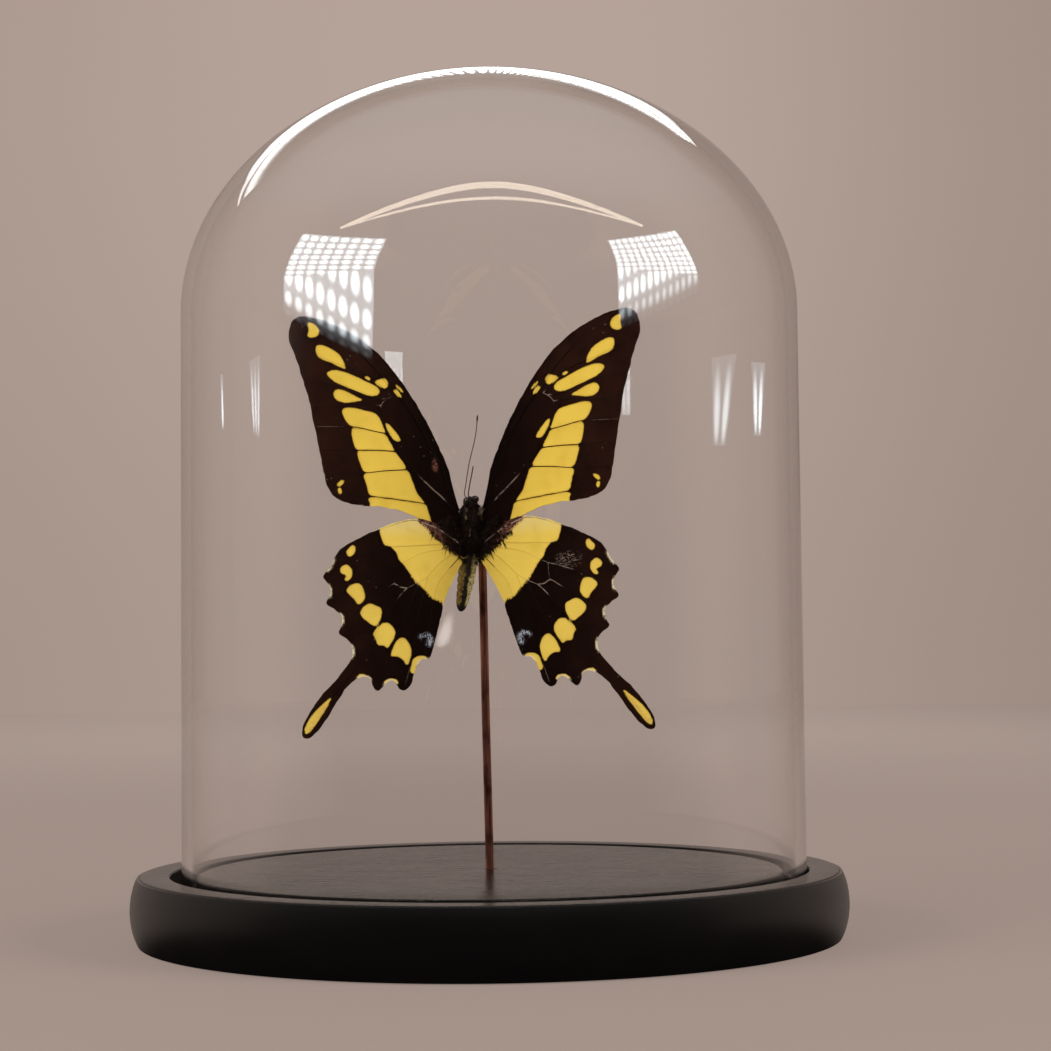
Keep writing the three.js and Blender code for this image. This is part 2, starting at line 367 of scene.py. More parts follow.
with editing():
    select_where("faces", lambda face: len(face.verts) > 4)
    bpy.ops.mesh.inset(thickness=0.2 * MM)
    select_where("edges", lambda edge: all(on_end_rim(corner) for corner in edge.verts))
    bpy.ops.mesh.bevel(offset=0.12 * MM, segments=2)
    for cut in range(1, 24):
        score((0, 0, half * (cut / 12 - 1)), UP)
lean = (ROD_TOP - ROD_FOOT).to_track_quat("Z", "Y").to_matrix().to_4x4()
rod.data.transform(Matrix.Translation((ROD_TOP + ROD_FOOT) / 2 * MM) @ lean)
for vertex in rod.data.vertices:
    height = vertex.co.z / MM
    kink = ROD_KINK * math.sin(height / 11) * math.sin(math.pi * (height - ROD_FOOT.z) / 91)
    vertex.co.x += kink * MM
smooth(rod)

copper = Finish("drawn_copper", Metallic=0.92)
drawn = copper.mottle(0.22, (1, 1, 0.02), 3).ramp(0.34, 0.66)
tarnish = copper.mottle(5, (1, 1, 0.5), 3)
fresh = copper.blend(drawn, (0.23, 0.080, 0.058), (0.64, 0.260, 0.185))
copper.feed("Base Color", copper.blend(tarnish.ramp(0.42, 0.72), fresh, (0.075, 0.026, 0.02)))
copper.feed("Roughness", 0.28 + tarnish * 0.22 + drawn * 0.1)
copper.relief(drawn, 0.012)
copper.put_on(rod)
finished(rod, "rod_copper", "support_rod")

# ---- Wings ----
# Four dry wings: a thin membrane over branching veins, covered with dust-like scales
# on both faces. The forewings lie just behind the hindwings where they overlap.
# Lengths are in mm, as [distance from the body's axis, height above the breast's middle].
BUTTERFLY_PLACE = Vector((-3.8, -5.3, 97.8))
BUTTERFLY_TURN = Matrix.Rotation(math.radians(-1), 4, "Y")
MOUNTED = Matrix.Scale(MM, 4) @ Matrix.Translation(BUTTERFLY_PLACE) @ BUTTERFLY_TURN
WING_BEND, WING_ROOT = 225.0, 2.5
HINGE_SLOPE = math.radians(40)
FOREWING_HINGE_Y, HINDWING_HINGE_Y = 0.5, -0.6
TAIL_SWAY, SWAY_BELOW = 0.022, -10
MEMBRANE, VEIN_RIDGE, DRY_WAVES = 0.24, 0.10, 0.45
CUT = 0.4

FOREWING_EDGE = [
    (2.5, 3.2), (3.2, 5.0), (4.1, 9.6), (5.2, 14.6), (7.6, 20.6), (11.1, 27.8),
    (15.4, 34.8), (19.8, 40.4), (24.8, 44.7), (30.7, 47.8), (35.5, 49.2), (38.4, 49.0),
    (40.1, 47.1), (40.4, 43.7), (39.2, 40.1), (38.1, 36.3), (36.8, 31.8), (35.9, 27.6),
    (35.2, 23.2), (34.4, 18.6), (33.6, 14.1), (32.5, 9.2), (29.9, 6.5), (25.4, 5.4),
    (21.2, 5.2), (16.0, 4.2), (11.2, 2.2), (6.5, -0.3), (2.4, -1.6),
]
HINDWING_EDGE = [
    (1.8, -3.6), (3.6, -2.3), (5.4, -0.9), (7.1, 0.6), (9.4, 1.8), (12.3, 2.5),
    (15.2, 2.1), (17.7, 1.4), (21.4, -0.1), (24.9, -1.8), (28.2, -3.5), (30.2, -5.0),
    (31.5, -7.2), (32.5, -9.2), (34.0, -11.1), (33.3, -12.5), (32.5, -14.4), (32.8, -15.8),
    (33.7, -17.4), (32.1, -18.6), (30.6, -19.9), (30.2, -21.2), (30.7, -23.0), (31.2, -24.5),
    (29.4, -25.8), (28.5, -27.2), (28.2, -28.8), (29.0, -30.8), (31.7, -34.4), (35.7, -38.8),
    (38.9, -43.5), (40.2, -46.5), (39.7, -48.2), (37.8, -47.7), (34.8, -44.0), (31.2, -38.4),
    (28.5, -35.5), (26.2, -34.5), (24.5, -35.4), (23.9, -37.3), (23.1, -38.0), (21.9, -37.1),
    (20.7, -35.8), (19.3, -35.9), (18.4, -37.4), (17.3, -38.0), (15.8, -37.0), (14.8, -34.3),
    (14.1, -32.3), (12.9, -31.0), (11.3, -30.8), (10.3, -28.6), (8.9, -24.2), (7.8, -20.1),
    (7.2, -17.6), (5.3, -13.3), (3.1, -8.9), (1.8, -6.8),
]
FOREWING_YELLOW = [
    [(36.2, 47.9), (34.7, 47.5), (33.9, 46.5), (34.0, 45.2), (35.0, 44.5), (36.3, 44.6), (36.1, 46.2)],
    [(34.6, 42.1), (34.0, 42.7), (32.6, 42.6), (30.8, 41.7), (29.4, 40.6), (28.4, 38.8), (28.2, 37.5),
     (29.4, 37.8), (31.2, 38.7), (33.0, 39.3), (34.3, 40.2)],
    [(32.2, 35.9), (31.7, 36.7), (30.6, 37.0), (28.9, 36.8), (26.5, 36.0), (23.6, 34.7), (21.3, 33.6),
     (20.6, 32.5), (21.2, 31.6), (22.8, 31.4), (25.3, 32.1), (28.3, 33.3), (30.6, 34.3)],
    [(30.9, 31.6), (30.3, 32.4), (29.2, 32.5), (27.6, 31.9), (26.0, 31.1), (24.6, 30.3), (26.0, 29.9),
     (28.2, 29.5), (29.8, 29.8), (30.7, 30.6)],
    [(23.9, 35.6), (23.4, 36.0), (22.6, 35.5), (22.9, 35.0)],
    [(21.6, 34.8), (20.4, 35.4), (19.4, 35.7), (18.7, 34.8), (18.7, 33.8), (19.6, 33.3), (20.8, 33.8)],
    [(16.9, 34.4), (15.9, 33.7), (15.1, 32.5), (15.9, 32.9), (16.8, 33.9)],
    [(17.4, 33.0), (16.8, 33.2), (15.9, 32.2), (15.6, 31.3), (16.3, 31.4), (17.0, 32.0)],
    [(29.1, 27.3), (28.5, 28.2), (26.6, 28.3), (23.9, 27.8), (21.7, 27.2), (20.7, 26.0), (20.0, 24.2),
     (19.6, 22.7), (21.4, 22.9), (24.5, 23.6), (27.2, 24.1), (28.5, 25.6)],
    [(27.1, 23.0), (26.2, 23.6), (23.4, 23.2), (19.8, 22.4), (18.7, 20.9), (17.7, 18.6), (20.0, 18.7),
     (23.6, 18.6), (26.0, 18.6), (26.8, 20.4)],
    [(25.9, 17.8), (24.9, 18.2), (21.5, 18.4), (17.8, 18.3), (16.4, 16.9), (15.1, 14.8), (16.0, 14.1),
     (19.5, 13.8), (23.3, 13.2), (24.6, 13.6), (25.4, 15.4)],
    [(24.6, 12.4), (23.6, 13.1), (19.9, 13.6), (15.0, 14.0), (13.7, 11.7), (12.6, 8.7), (11.0, 6.2),
     (13.4, 6.6), (18.4, 7.3), (22.6, 7.7), (23.6, 8.4), (24.1, 10.6)],
    [(23.3, 7.3), (23.4, 6.0), (22.9, 4.4), (18.5, 3.9), (13.7, 2.4), (9.3, 0.6), (9.5, 2.1),
     (10.2, 4.6), (10.8, 5.9), (14.0, 6.4), (18.7, 7.0)],
    [(19.4, 25.0), (18.5, 24.6), (17.0, 22.8), (16.1, 21.2), (16.9, 20.8), (17.8, 21.4), (19.0, 23.4)],
    [(30.6, 10.1), (30.2, 10.8), (29.4, 11.3), (28.9, 11.2), (29.3, 10.4), (30.1, 9.8)],
    [(30.4, 9.4), (29.8, 9.4), (29.6, 8.7), (29.8, 8.0), (30.3, 8.1)],
]
HINDWING_YELLOW = [
    [(28.8, -5.4), (28.2, -4.6), (27.3, -3.9), (26.8, -4.5), (27.0, -5.7), (28.0, -6.6), (28.6, -6.3)],
    [(30.3, -9.6), (29.7, -8.8), (28.8, -8.5), (27.8, -9.5), (27.7, -10.9), (28.3, -12.0), (29.1, -12.3),
     (29.4, -11.8), (28.9, -11.3), (29.3, -10.8), (30.1, -10.4)],
    [(29.0, -14.4), (28.4, -13.4), (27.2, -12.9), (25.9, -13.1), (25.2, -14.7), (25.1, -16.2),
     (25.9, -17.4), (26.8, -17.7), (27.4, -16.6), (28.6, -15.3)],
    [(26.2, -19.5), (25.4, -18.3), (24.1, -17.6), (22.9, -18.0), (21.6, -18.8), (21.6, -20.6),
     (22.4, -22.3), (23.3, -22.8), (24.6, -21.9), (25.9, -20.7)],
    [(23.6, -24.7), (22.5, -23.1), (21.2, -22.2), (19.8, -22.4), (18.7, -24.0), (18.9, -25.6),
     (19.9, -27.2), (20.5, -28.0), (21.4, -27.4), (22.6, -27.3), (23.1, -25.9)],
    [(19.8, -29.9), (19.3, -28.1), (18.4, -26.5), (17.3, -25.7), (16.2, -26.2), (15.2, -28.4),
     (15.5, -30.6), (16.3, -32.2), (17.0, -31.1), (18.3, -30.1)],
    [(15.6, -33.8), (15.3, -32.2), (14.7, -30.7), (13.4, -30.1), (11.8, -30.3), (11.9, -31.2),
     (13.2, -31.6), (14.2, -32.6), (14.5, -34.2)],
    [(27.1, -34.0), (26.0, -34.1), (24.7, -34.9), (24.6, -35.8), (26.2, -35.0), (27.6, -34.9)],
    [(21.9, -36.2), (20.6, -35.3), (18.9, -35.5), (18.5, -36.5), (19.6, -36.5), (21.0, -36.4)],
    [(33.5, -39.2), (34.1, -40.6), (35.5, -42.8), (37.3, -45.4), (38.6, -47.0), (39.4, -47.2),
     (39.6, -46.4), (39.1, -45.0), (37.9, -43.1), (36.4, -41.5), (34.6, -39.9)],
]
# The yellow of the hindwing's root, which reaches under the hair of the body.
WEDGE = [
    (21.9, 1.6), (21.4, -0.1), (21.1, -1.5), (20.7, -2.9), (20.2, -3.9), (19.1, -4.2), (18.2, -4.9),
    (17.5, -5.9), (17.0, -7.4), (16.0, -8.5), (14.9, -10.2), (14.0, -11.6), (13.2, -12.8),
    (11.8, -14.1), (10.5, -15.7), (9.6, -16.7), (8.7, -17.0), (8.0, -17.2), (6.2, -17.9),
    (0.5, -8.5), (2.4, -6.7), (3.4, -6.2), (4.8, -5.4), (6.4, -3.9), (8.0, -2.5), (9.3, -0.9),
    (10.7, 0.4), (12.3, 1.7), (13.5, 3.6),
]
FOREWING_VEINS = {
    "cubital": [(3.0, 2.8), (6.3, 7.2), (9.1, 9.8), (12.3, 13.0), (15.4, 16.7), (17.0, 19.1), (18.5, 21.6),
                (19.6, 24.2), (20.3, 26.6), (20.4, 29.2), (19.5, 30.4), (18.1, 31.4)],
    "radial": [(3.0, 4.6), (5.1, 9.7), (6.9, 14.4), (8.9, 18.9), (11.1, 23.4), (13.6, 27.6), (15.8, 30.4),
               (18.0, 33.1), (20.9, 37.0), (24.9, 41.0), (29.4, 44.3), (34.2, 46.8), (38.8, 48.4)],
    "radial_1": [(12.7, 26.2), (15.1, 30.9), (17.2, 36.0)],
    "radial_2": [(14.9, 29.4), (17.8, 34.1), (20.4, 38.7), (23.3, 42.6)],
    "radial_3": [(18.0, 33.1), (22.3, 38.6), (26.7, 43.3), (31.0, 47.0)],
    "median_0": [(18.1, 31.4), (20.1, 33.5), (22.6, 35.7), (26.8, 37.5), (30.6, 38.8), (35.0, 40.7),
                 (39.9, 42.4)],
    "median_1": [(19.2, 30.8), (22.9, 31.0), (26.3, 32.4), (30.7, 33.4), (37.6, 34.6)],
    "median_2": [(20.4, 29.2), (24.1, 29.3), (27.5, 29.0), (32.0, 28.4), (35.9, 27.9)],
    "cubital_1": [(19.6, 22.6), (22.6, 23.1), (26.5, 23.9), (29.8, 23.8), (35.2, 23.6)],
    "cubital_2": [(17.2, 18.4), (22.0, 18.5), (26.1, 18.4), (29.9, 18.4), (34.2, 18.1)],
    "cubital_3": [(15.0, 14.1), (19.9, 13.7), (24.7, 13.0), (28.9, 12.8), (33.2, 12.5)],
    "anal": [(3.0, 1.6), (6.6, 4.4), (10.8, 6.1), (16.6, 6.9), (23.0, 7.6), (27.9, 7.7), (31.0, 7.3)],
    "costal": [(2.9, 4.6), (3.6, 7.0), (4.4, 10.2), (5.5, 14.8), (7.9, 20.5), (11.4, 27.6), (15.7, 34.5),
               (20.0, 40.0), (25.0, 44.4), (30.8, 47.5), (35.5, 48.9)],
}
HINDWING_VEINS = {
    "costal": [(2.6, -3.6), (5.8, -1.3), (8.4, 0.4), (9.8, 0.9), (11.6, 1.6), (13.2, 2.1), (15.5, 1.8),
               (17.8, 1.1), (21.4, -0.4), (25.0, -2.1), (28.1, -3.8)],
    "radial": [(2.6, -4.2), (7.5, -3.6), (12.2, -3.9), (18.0, -4.2), (21.5, -4.9), (25.5, -6.2), (29.5, -8.3),
               (33.8, -11.1)],
    "median_1": [(2.8, -4.8), (7.6, -4.9), (12.2, -5.9), (16.4, -8.2), (18.0, -9.0), (18.1, -10.9),
                 (18.4, -13.0)],
    "median_2": [(18.0, -9.0), (20.0, -9.5), (23.3, -10.7), (25.6, -11.6), (28.6, -13.6), (33.4, -17.2)],
    "median_3": [(15.5, -14.0), (17.1, -13.8), (18.4, -13.0), (20.6, -14.4), (25.0, -17.7), (28.3, -21.2),
                 (31.0, -24.2)],
    "tail": [(15.5, -14.0), (17.5, -16.1), (20.4, -20.2), (22.7, -23.8), (26.0, -29.6), (30.0, -35.4),
             (33.8, -39.9), (37.4, -45.0), (39.3, -47.6)],
    "cubital": [(2.8, -5.4), (5.5, -6.3), (7.4, -7.8), (8.8, -9.2), (10.5, -11.1), (12.7, -12.6),
                (15.5, -14.0)],
    "cubital_1": [(12.7, -12.6), (15.4, -18.4), (17.7, -23.6), (19.2, -27.0), (20.6, -30.2), (22.9, -37.4)],
    "cubital_2": [(10.5, -11.1), (12.6, -18.0), (14.2, -24.5), (14.9, -28.5), (15.2, -30.8), (17.1, -37.2)],
    "anal": [(2.6, -6.2), (5.1, -8.9), (8.3, -12.9), (9.6, -17.2), (10.6, -22.0), (12.0, -30.4)],
}
# Where the scales are rubbed off, a vein shows its pale horn: how much, and along what line.
FOREWING_RUBBED = [
    (1.0, [(20.4, 29.2), (19.5, 30.4), (18.1, 31.4)]), (0.6, [(6.3, 7.2), (9.1, 9.8), (11.4, 12.0)]),
    (0.35, [(29.9, 23.8), (34.6, 23.6)]),
]
HINDWING_RUBBED = [
    (0.7, [(12.9, -12.8), (15.5, -14.0), (17.5, -16.1)]), (0.6, [(15.7, -33.6), (16.7, -36.4)]),
    (0.7, [(15.5, -14.0), (17.1, -13.8), (18.4, -13.0)]),
    (1.0, [(3.6, -2.9), (9.8, 0.9), (13.2, 2.1), (17.8, 1.1)]),
]
RIGHT_HINDWING_RUBBED = [(0.5, [(16.4, -8.2), (18.0, -9.0), (20.0, -9.5), (23.3, -10.7)]),
                         (0.5, [(18.0, -9.0), (18.1, -10.9), (18.4, -13.0), (20.6, -14.4)])]
HINDWING_NOTCHES = [
    (32.4, -8.6), (32.5, -14.6), (30.1, -21.2), (28.2, -28.6), (26.0, -34.6), (20.4, -35.8), (13.0, -31.0),
]
# A fleck without scales on the left forewing, the hairy root of the hindwing, and the
# ragged lower edge of its yellow wedge.
FLECK = [(8.45, 16.2), (8.1, 16.9), (7.9, 15.5), (8.1, 14.2), (8.5, 14.6)]
HAIRY_EDGE = [(0.5, -8.5), (3.4, -6.2), (6.4, -3.9), (9.3, -0.9), (12.3, 1.7)]
RAGGED_EDGE = [(14.0, -11.6), (11.8, -14.1), (9.6, -16.7), (8.7, -17.0), (6.2, -17.9)]
DARK_ROOT, TAIL_STREAK = [(2.6, -6.2), (5.1, -8.9)], [(34.8, -41.0), (38.8, -46.2)]


def curved(points, gap, closed=False):
    """A smooth line through points, with a new point about every gap mm."""
    given = np.array(points, float)
    count = len(given) if closed else len(given) - 1
    line = []
    for i in range(count):
        if closed:
            around = [given[(i + k) % len(given)] for k in (-1, 0, 1, 2)]
        else:
            around = [given[min(max(i + k, 0), len(given) - 1)] for k in (-1, 0, 1, 2)]
        before, start, end, after = around
        steps = max(1, round(float(np.linalg.norm(end - start)) / gap))
        for t in np.arange(steps) / steps:
            out, back = (end - before) / 2, (after - start) / 2
            line.append((2 * start - 2 * end + out + back) * t**3
                        + (3 * end - 3 * start - 2 * out - back) * t**2 + out * t + start)
    if not closed:
        line.append(given[-1])
    return np.array(line)


def distances(points, line, closed=False):
    """Distance in mm from each point to a line of straight steps."""
    start = line if closed else line[:-1]
    step = (np.roll(line, -1, 0) if closed else line[1:]) - start
    nearest = np.full(len(points), 1e9)
    for a, d in zip(start, step):
        share = np.clip(((points - a) @ d) / max(d @ d, 1e-12), 0, 1)
        nearest = np.minimum(nearest, np.hypot(*(points - a - share[:, None] * d).T))
    return nearest


def depth_inside(points, outline):
    """Distance in mm from each point to a closed outline, positive inside it."""
    x, z = points.T
    crossings = np.zeros(len(points), int)
    for a, b in zip(outline, np.roll(outline, -1, 0)):
        if a[1] != b[1]:
            passes = (a[1] > z) != (b[1] > z)
            crossings += passes & (x < (b[0] - a[0]) * (z - a[1]) / (b[1] - a[1]) + a[0])
    return np.where(crossings % 2 == 1, 1, -1) * distances(points, outline, True)


def sway(z):
    """How far both tails are drawn to +X at this height."""
    return TAIL_SWAY * np.maximum(0, SWAY_BELOW - z)


def lie(x, z, side, hinge_y):
    """Depth of the dry wing at a place on it: one shallow arc with soft waves in it."""
    slope = np.arcsin(math.sin(HINGE_SLOPE) - (np.abs(x) - WING_ROOT) / WING_BEND)
    arc_y = hinge_y - WING_BEND * (np.cos(slope) - math.cos(HINGE_SLOPE))
    waves = np.array([noise.noise(Vector((a / 13, side * 7.3 + hinge_y, b / 17))) for a, b in zip(x, z)])
    rise = np.clip((np.abs(x) - 6) / 14, 0, 1)
    return arc_y + DRY_WAVES * rise * waves


def cut_flat_wing(name, outline):
    """Cuts a wing from a flat sheet, and scores it into small squares so that it can bend."""
    deselect()
    bpy.ops.mesh.primitive_circle_add(vertices=len(outline), radius=1, fill_type="NGON")
    wing = named(name)
    for vertex, (x, z) in zip(wing.data.vertices, outline):
        nick = noise.noise_vector(Vector((x / 0.9, z / 0.9, 0))) * 0.13
        nick += noise.noise_vector(Vector((x / 2.4, z / 2.4, 5))) * 0.17
        vertex.co = (x + nick.x, 0, z + nick.z)
    with editing():
        for axis, normal in enumerate(((1, 0, 0), UP)):
            low, high = outline[:, axis].min(), outline[:, axis].max()
            for i in range(1, math.ceil((high - low) / CUT)):
                score([share * (low + i * CUT) for share in normal], normal)
        select_all()
        bpy.ops.mesh.remove_doubles(threshold=0.03)
    return wing


def placed(name, data):
    """A new object in the scene, of this mesh, curve or lamp."""
    made = bpy.data.objects.new(name, data)
    bpy.context.collection.objects.link(made)
    return made


def strand(name, points, radii, sides=1):
    """A round wire through points, with its own radius at each, as a mesh."""
    curve = bpy.data.curves.new(name, "CURVE")
    curve.dimensions, curve.bevel_depth, curve.bevel_resolution = "3D", 1.0, sides
    curve.use_fill_caps = True
    line = curve.splines.new("POLY")
    line.points.add(len(points) - 1)
    for target, place, radius in zip(line.points, points, radii):
        target.co, target.radius = (*place, 1), radius
    pick(placed(name, curve))
    bpy.ops.object.convert(target="MESH")
    return bpy.context.object


def joined(pieces):
    """Makes one piece of several, named as the first."""
    pick(*pieces)
    bpy.ops.object.join()
    return bpy.context.object


def note(piece, name, values):
    """Stores a number at each point of a mesh, for its finish to read."""
    attribute = piece.data.attributes.new(name, "FLOAT", "POINT")
    attribute.data.foreach_set("value", np.asarray(values, np.float32))


def coords(piece):
    """The points of a mesh, a row for each."""
    flat = np.empty(len(piece.data.vertices) * 3)
    piece.data.vertices.foreach_get("co", flat)
    return flat.reshape(-1, 3)


def made_wing(name, flat, side, hinge_y, veins, finishes):
    """Bends a copy of the flat wing, gives it a thickness, and lays its veins in it."""
    pick(flat)
    bpy.ops.object.duplicate()
    wing = named(name)
    points = coords(wing)
    lines = [curved(line, 0.8) for line in veins.values()]
    away = np.min([distances(points[:, [0, 2]], line) for line in lines], 0)
    hindwing = hinge_y < 0
    points[:, 0] = side * points[:, 0] + (sway(points[:, 2]) if hindwing else 0)
    points[:, 1] = lie(points[:, 0], points[:, 2], side, hinge_y)
    points[:, 1] += VEIN_RIDGE * (1 - np.exp(-((away / 1.1) ** 2)))
    wing.data.vertices.foreach_set("co", points.ravel())
    wing.data.update()
    with editing():
        select_all()
        bpy.ops.mesh.normals_make_consistent(inside=False)
    if wing.data.polygons[0].normal.y > 0:
        wing.data.flip_normals()
    dress(wing, *finishes)
    thick = wing.modifiers.new("thickness", "SOLIDIFY")
    thick.thickness, thick.offset, thick.use_even_offset = MEMBRANE, 0, False
    thick.material_offset, thick.material_offset_rim = 1, 0
    bpy.ops.object.modifier_apply(modifier=thick.name)
    wires = []
    for key, line in zip(veins, lines):
        x = side * line[:, 0] + (sway(line[:, 1]) if hindwing else 0)
        y = lie(x, line[:, 1], side, hinge_y)
        stout = 0.26 if key in ("cubital", "radial", "costal") else 0.2
        radii = np.linspace(stout, 0.14, len(line))
        wire = strand(f"{name}_{key}", np.stack([x, y, line[:, 1]], 1), radii)
        dress(wire, *finishes)
        wire.data.polygons.foreach_set("material_index", np.full(len(wire.data.polygons), 2))
        wires.append(wire)
    return joined([wing, *wires])


def flat_place(wing, side, hindwing):
    """Each point's place on the wing as it was when flat."""
    points = coords(wing)
    x = points[:, 0] - (sway(points[:, 2]) if hindwing else 0)
    return np.stack([side * x, points[:, 2]], 1)


def rubbing(places, lines):
    """How far the horn shows at each place, by its distance from the rubbed lines."""
    shares = [share * np.clip(1.3 - 2 * distances(places, curved(line, 0.6)), 0, 1) for share, line in lines]
    return np.max(shares, 0)


def scales(name, black, brown, yellow, pale, shine):
    """A face covered with scales: yellow inside the noted outlines, black-brown outside."""
    finish = Finish(name, Specular_IOR_Level=shine)
    cream, grey_blue, bare_skin = (0.72, 0.63, 0.42), (0.42, 0.47, 0.56), (0.33, 0.135, 0.10)
    dusty, rim_yellow = [
        tuple(c * s for c, s in zip(yellow, shade)) for shade in ((0.74, 0.66, 0.5), (0.72, 0.55, 0.35))]
    ragged = finish.mottle(0.5, detail=3) * 0.30 - 0.15
    edge = finish.noted("yellow") + ragged + finish.noted("blur") * (finish.mottle(0.35, detail=3) - 0.5)
    in_yellow = edge.ramp(-0.13, 0.13)
    fine = finish.mottle(0.16, detail=2)
    cloud = finish.mottle(5, detail=3)
    # Where the mesh notes brown, the black turns browner: partly the scales' own brown, partly a painted
    # sheen.
    deep = finish.blend(cloud * finish.noted("brown"), black, brown)
    deep = finish.blend(fine.ramp(0.55, 0.8) * 0.25, deep, brown)
    warm = finish.blend(finish.noted("pale"), yellow, pale)
    warm = finish.blend(cloud.ramp(0.45, 0.8) * 0.35 + fine.ramp(0.5, 0.8) * 0.22, warm, dusty)
    warm = finish.blend(finish.noted("yellow").ramp(0.55, 0.0) * 0.35, warm, rim_yellow)
    colour = finish.blend(in_yellow, deep, warm)
    blue = finish.noted("blue") * finish.mottle(0.45, detail=2).ramp(0.38, 0.58)
    colour = finish.blend(blue, colour, grey_blue)
    bare = finish.noted("bare") * finish.mottle(0.6, detail=2).ramp(0.30, 0.6)
    colour = finish.blend(bare, colour, bare_skin)
    curls = (finish.mottle(1.2, (0.6, 1, 1.5), 1) - 0.5).maths("ABSOLUTE").ramp(0.040, 0.010)
    scratched = finish.noted("scratched") * curls * finish.mottle(0.9, detail=1).ramp(0.36, 0.46)
    colour = finish.blend(scratched * 0.5, colour, (0.33, 0.25, 0.21))
    fringe = finish.noted("fringe") * finish.mottle(0.5, detail=2).ramp(0.3, 0.5)
    colour = finish.blend(fringe, colour, cream)
    specks = finish.grains(1.6, out="Distance").ramp(0.09, 0.05) * finish.mottle(7, detail=1).ramp(0.55, 0.62)
    colour = finish.blend(specks * 0.5, colour, (0.45, 0.40, 0.36))
    finish.feed("Base Color", colour)
    finish.feed("Roughness", 0.62 - 0.10 * fine + in_yellow * 0.08)
    rows = finish.mottle(0.11, detail=1)
    finish.relief(rows * 0.5 + finish.mottle(0.7, detail=3) * 0.5, 0.05)
    return finish


upper = scales("wing_scales_upper", (0.0032, 0.0011, 0.0009), (0.023, 0.0075, 0.0045),
               (0.75, 0.54, 0.080), (0.74, 0.60, 0.21), 0.08)
under = scales("wing_scales_under", (0.022, 0.013, 0.009), (0.06, 0.034, 0.022),
               (0.70, 0.56, 0.20), (0.74, 0.64, 0.34), 0.14)
horn = Finish("wing_veins", Roughness=0.5, Specular_IOR_Level=0.14)
on_yellow = horn.noted("yellow").ramp(0.0, 0.3)
dark = horn.blend(on_yellow * (1 - horn.noted("wedge")), (0.0030, 0.0013, 0.0010), (0.17, 0.10, 0.02))
ochre = horn.blend(on_yellow * horn.noted("wedge"), dark, (0.64, 0.44, 0.074))
rubbed = horn.noted("rubbed") * horn.mottle(1.2, detail=3).ramp(0.32, 0.55)
horn.feed("Base Color", horn.blend(rubbed, ochre, (0.34, 0.25, 0.21)))
horn.relief(horn.mottle(0.3, detail=2), 0.03)

# A fixed seed gives the wings the same nicks each run.
noise.seed_set(11)
forewing_outline = curved(FOREWING_EDGE, 0.5)
hindwing_outline = curved(HINDWING_EDGE, 0.5)
flat_forewing = cut_flat_wing("flat_forewing", forewing_outline)
flat_hindwing = cut_flat_wing("flat_hindwing", hindwing_outline)

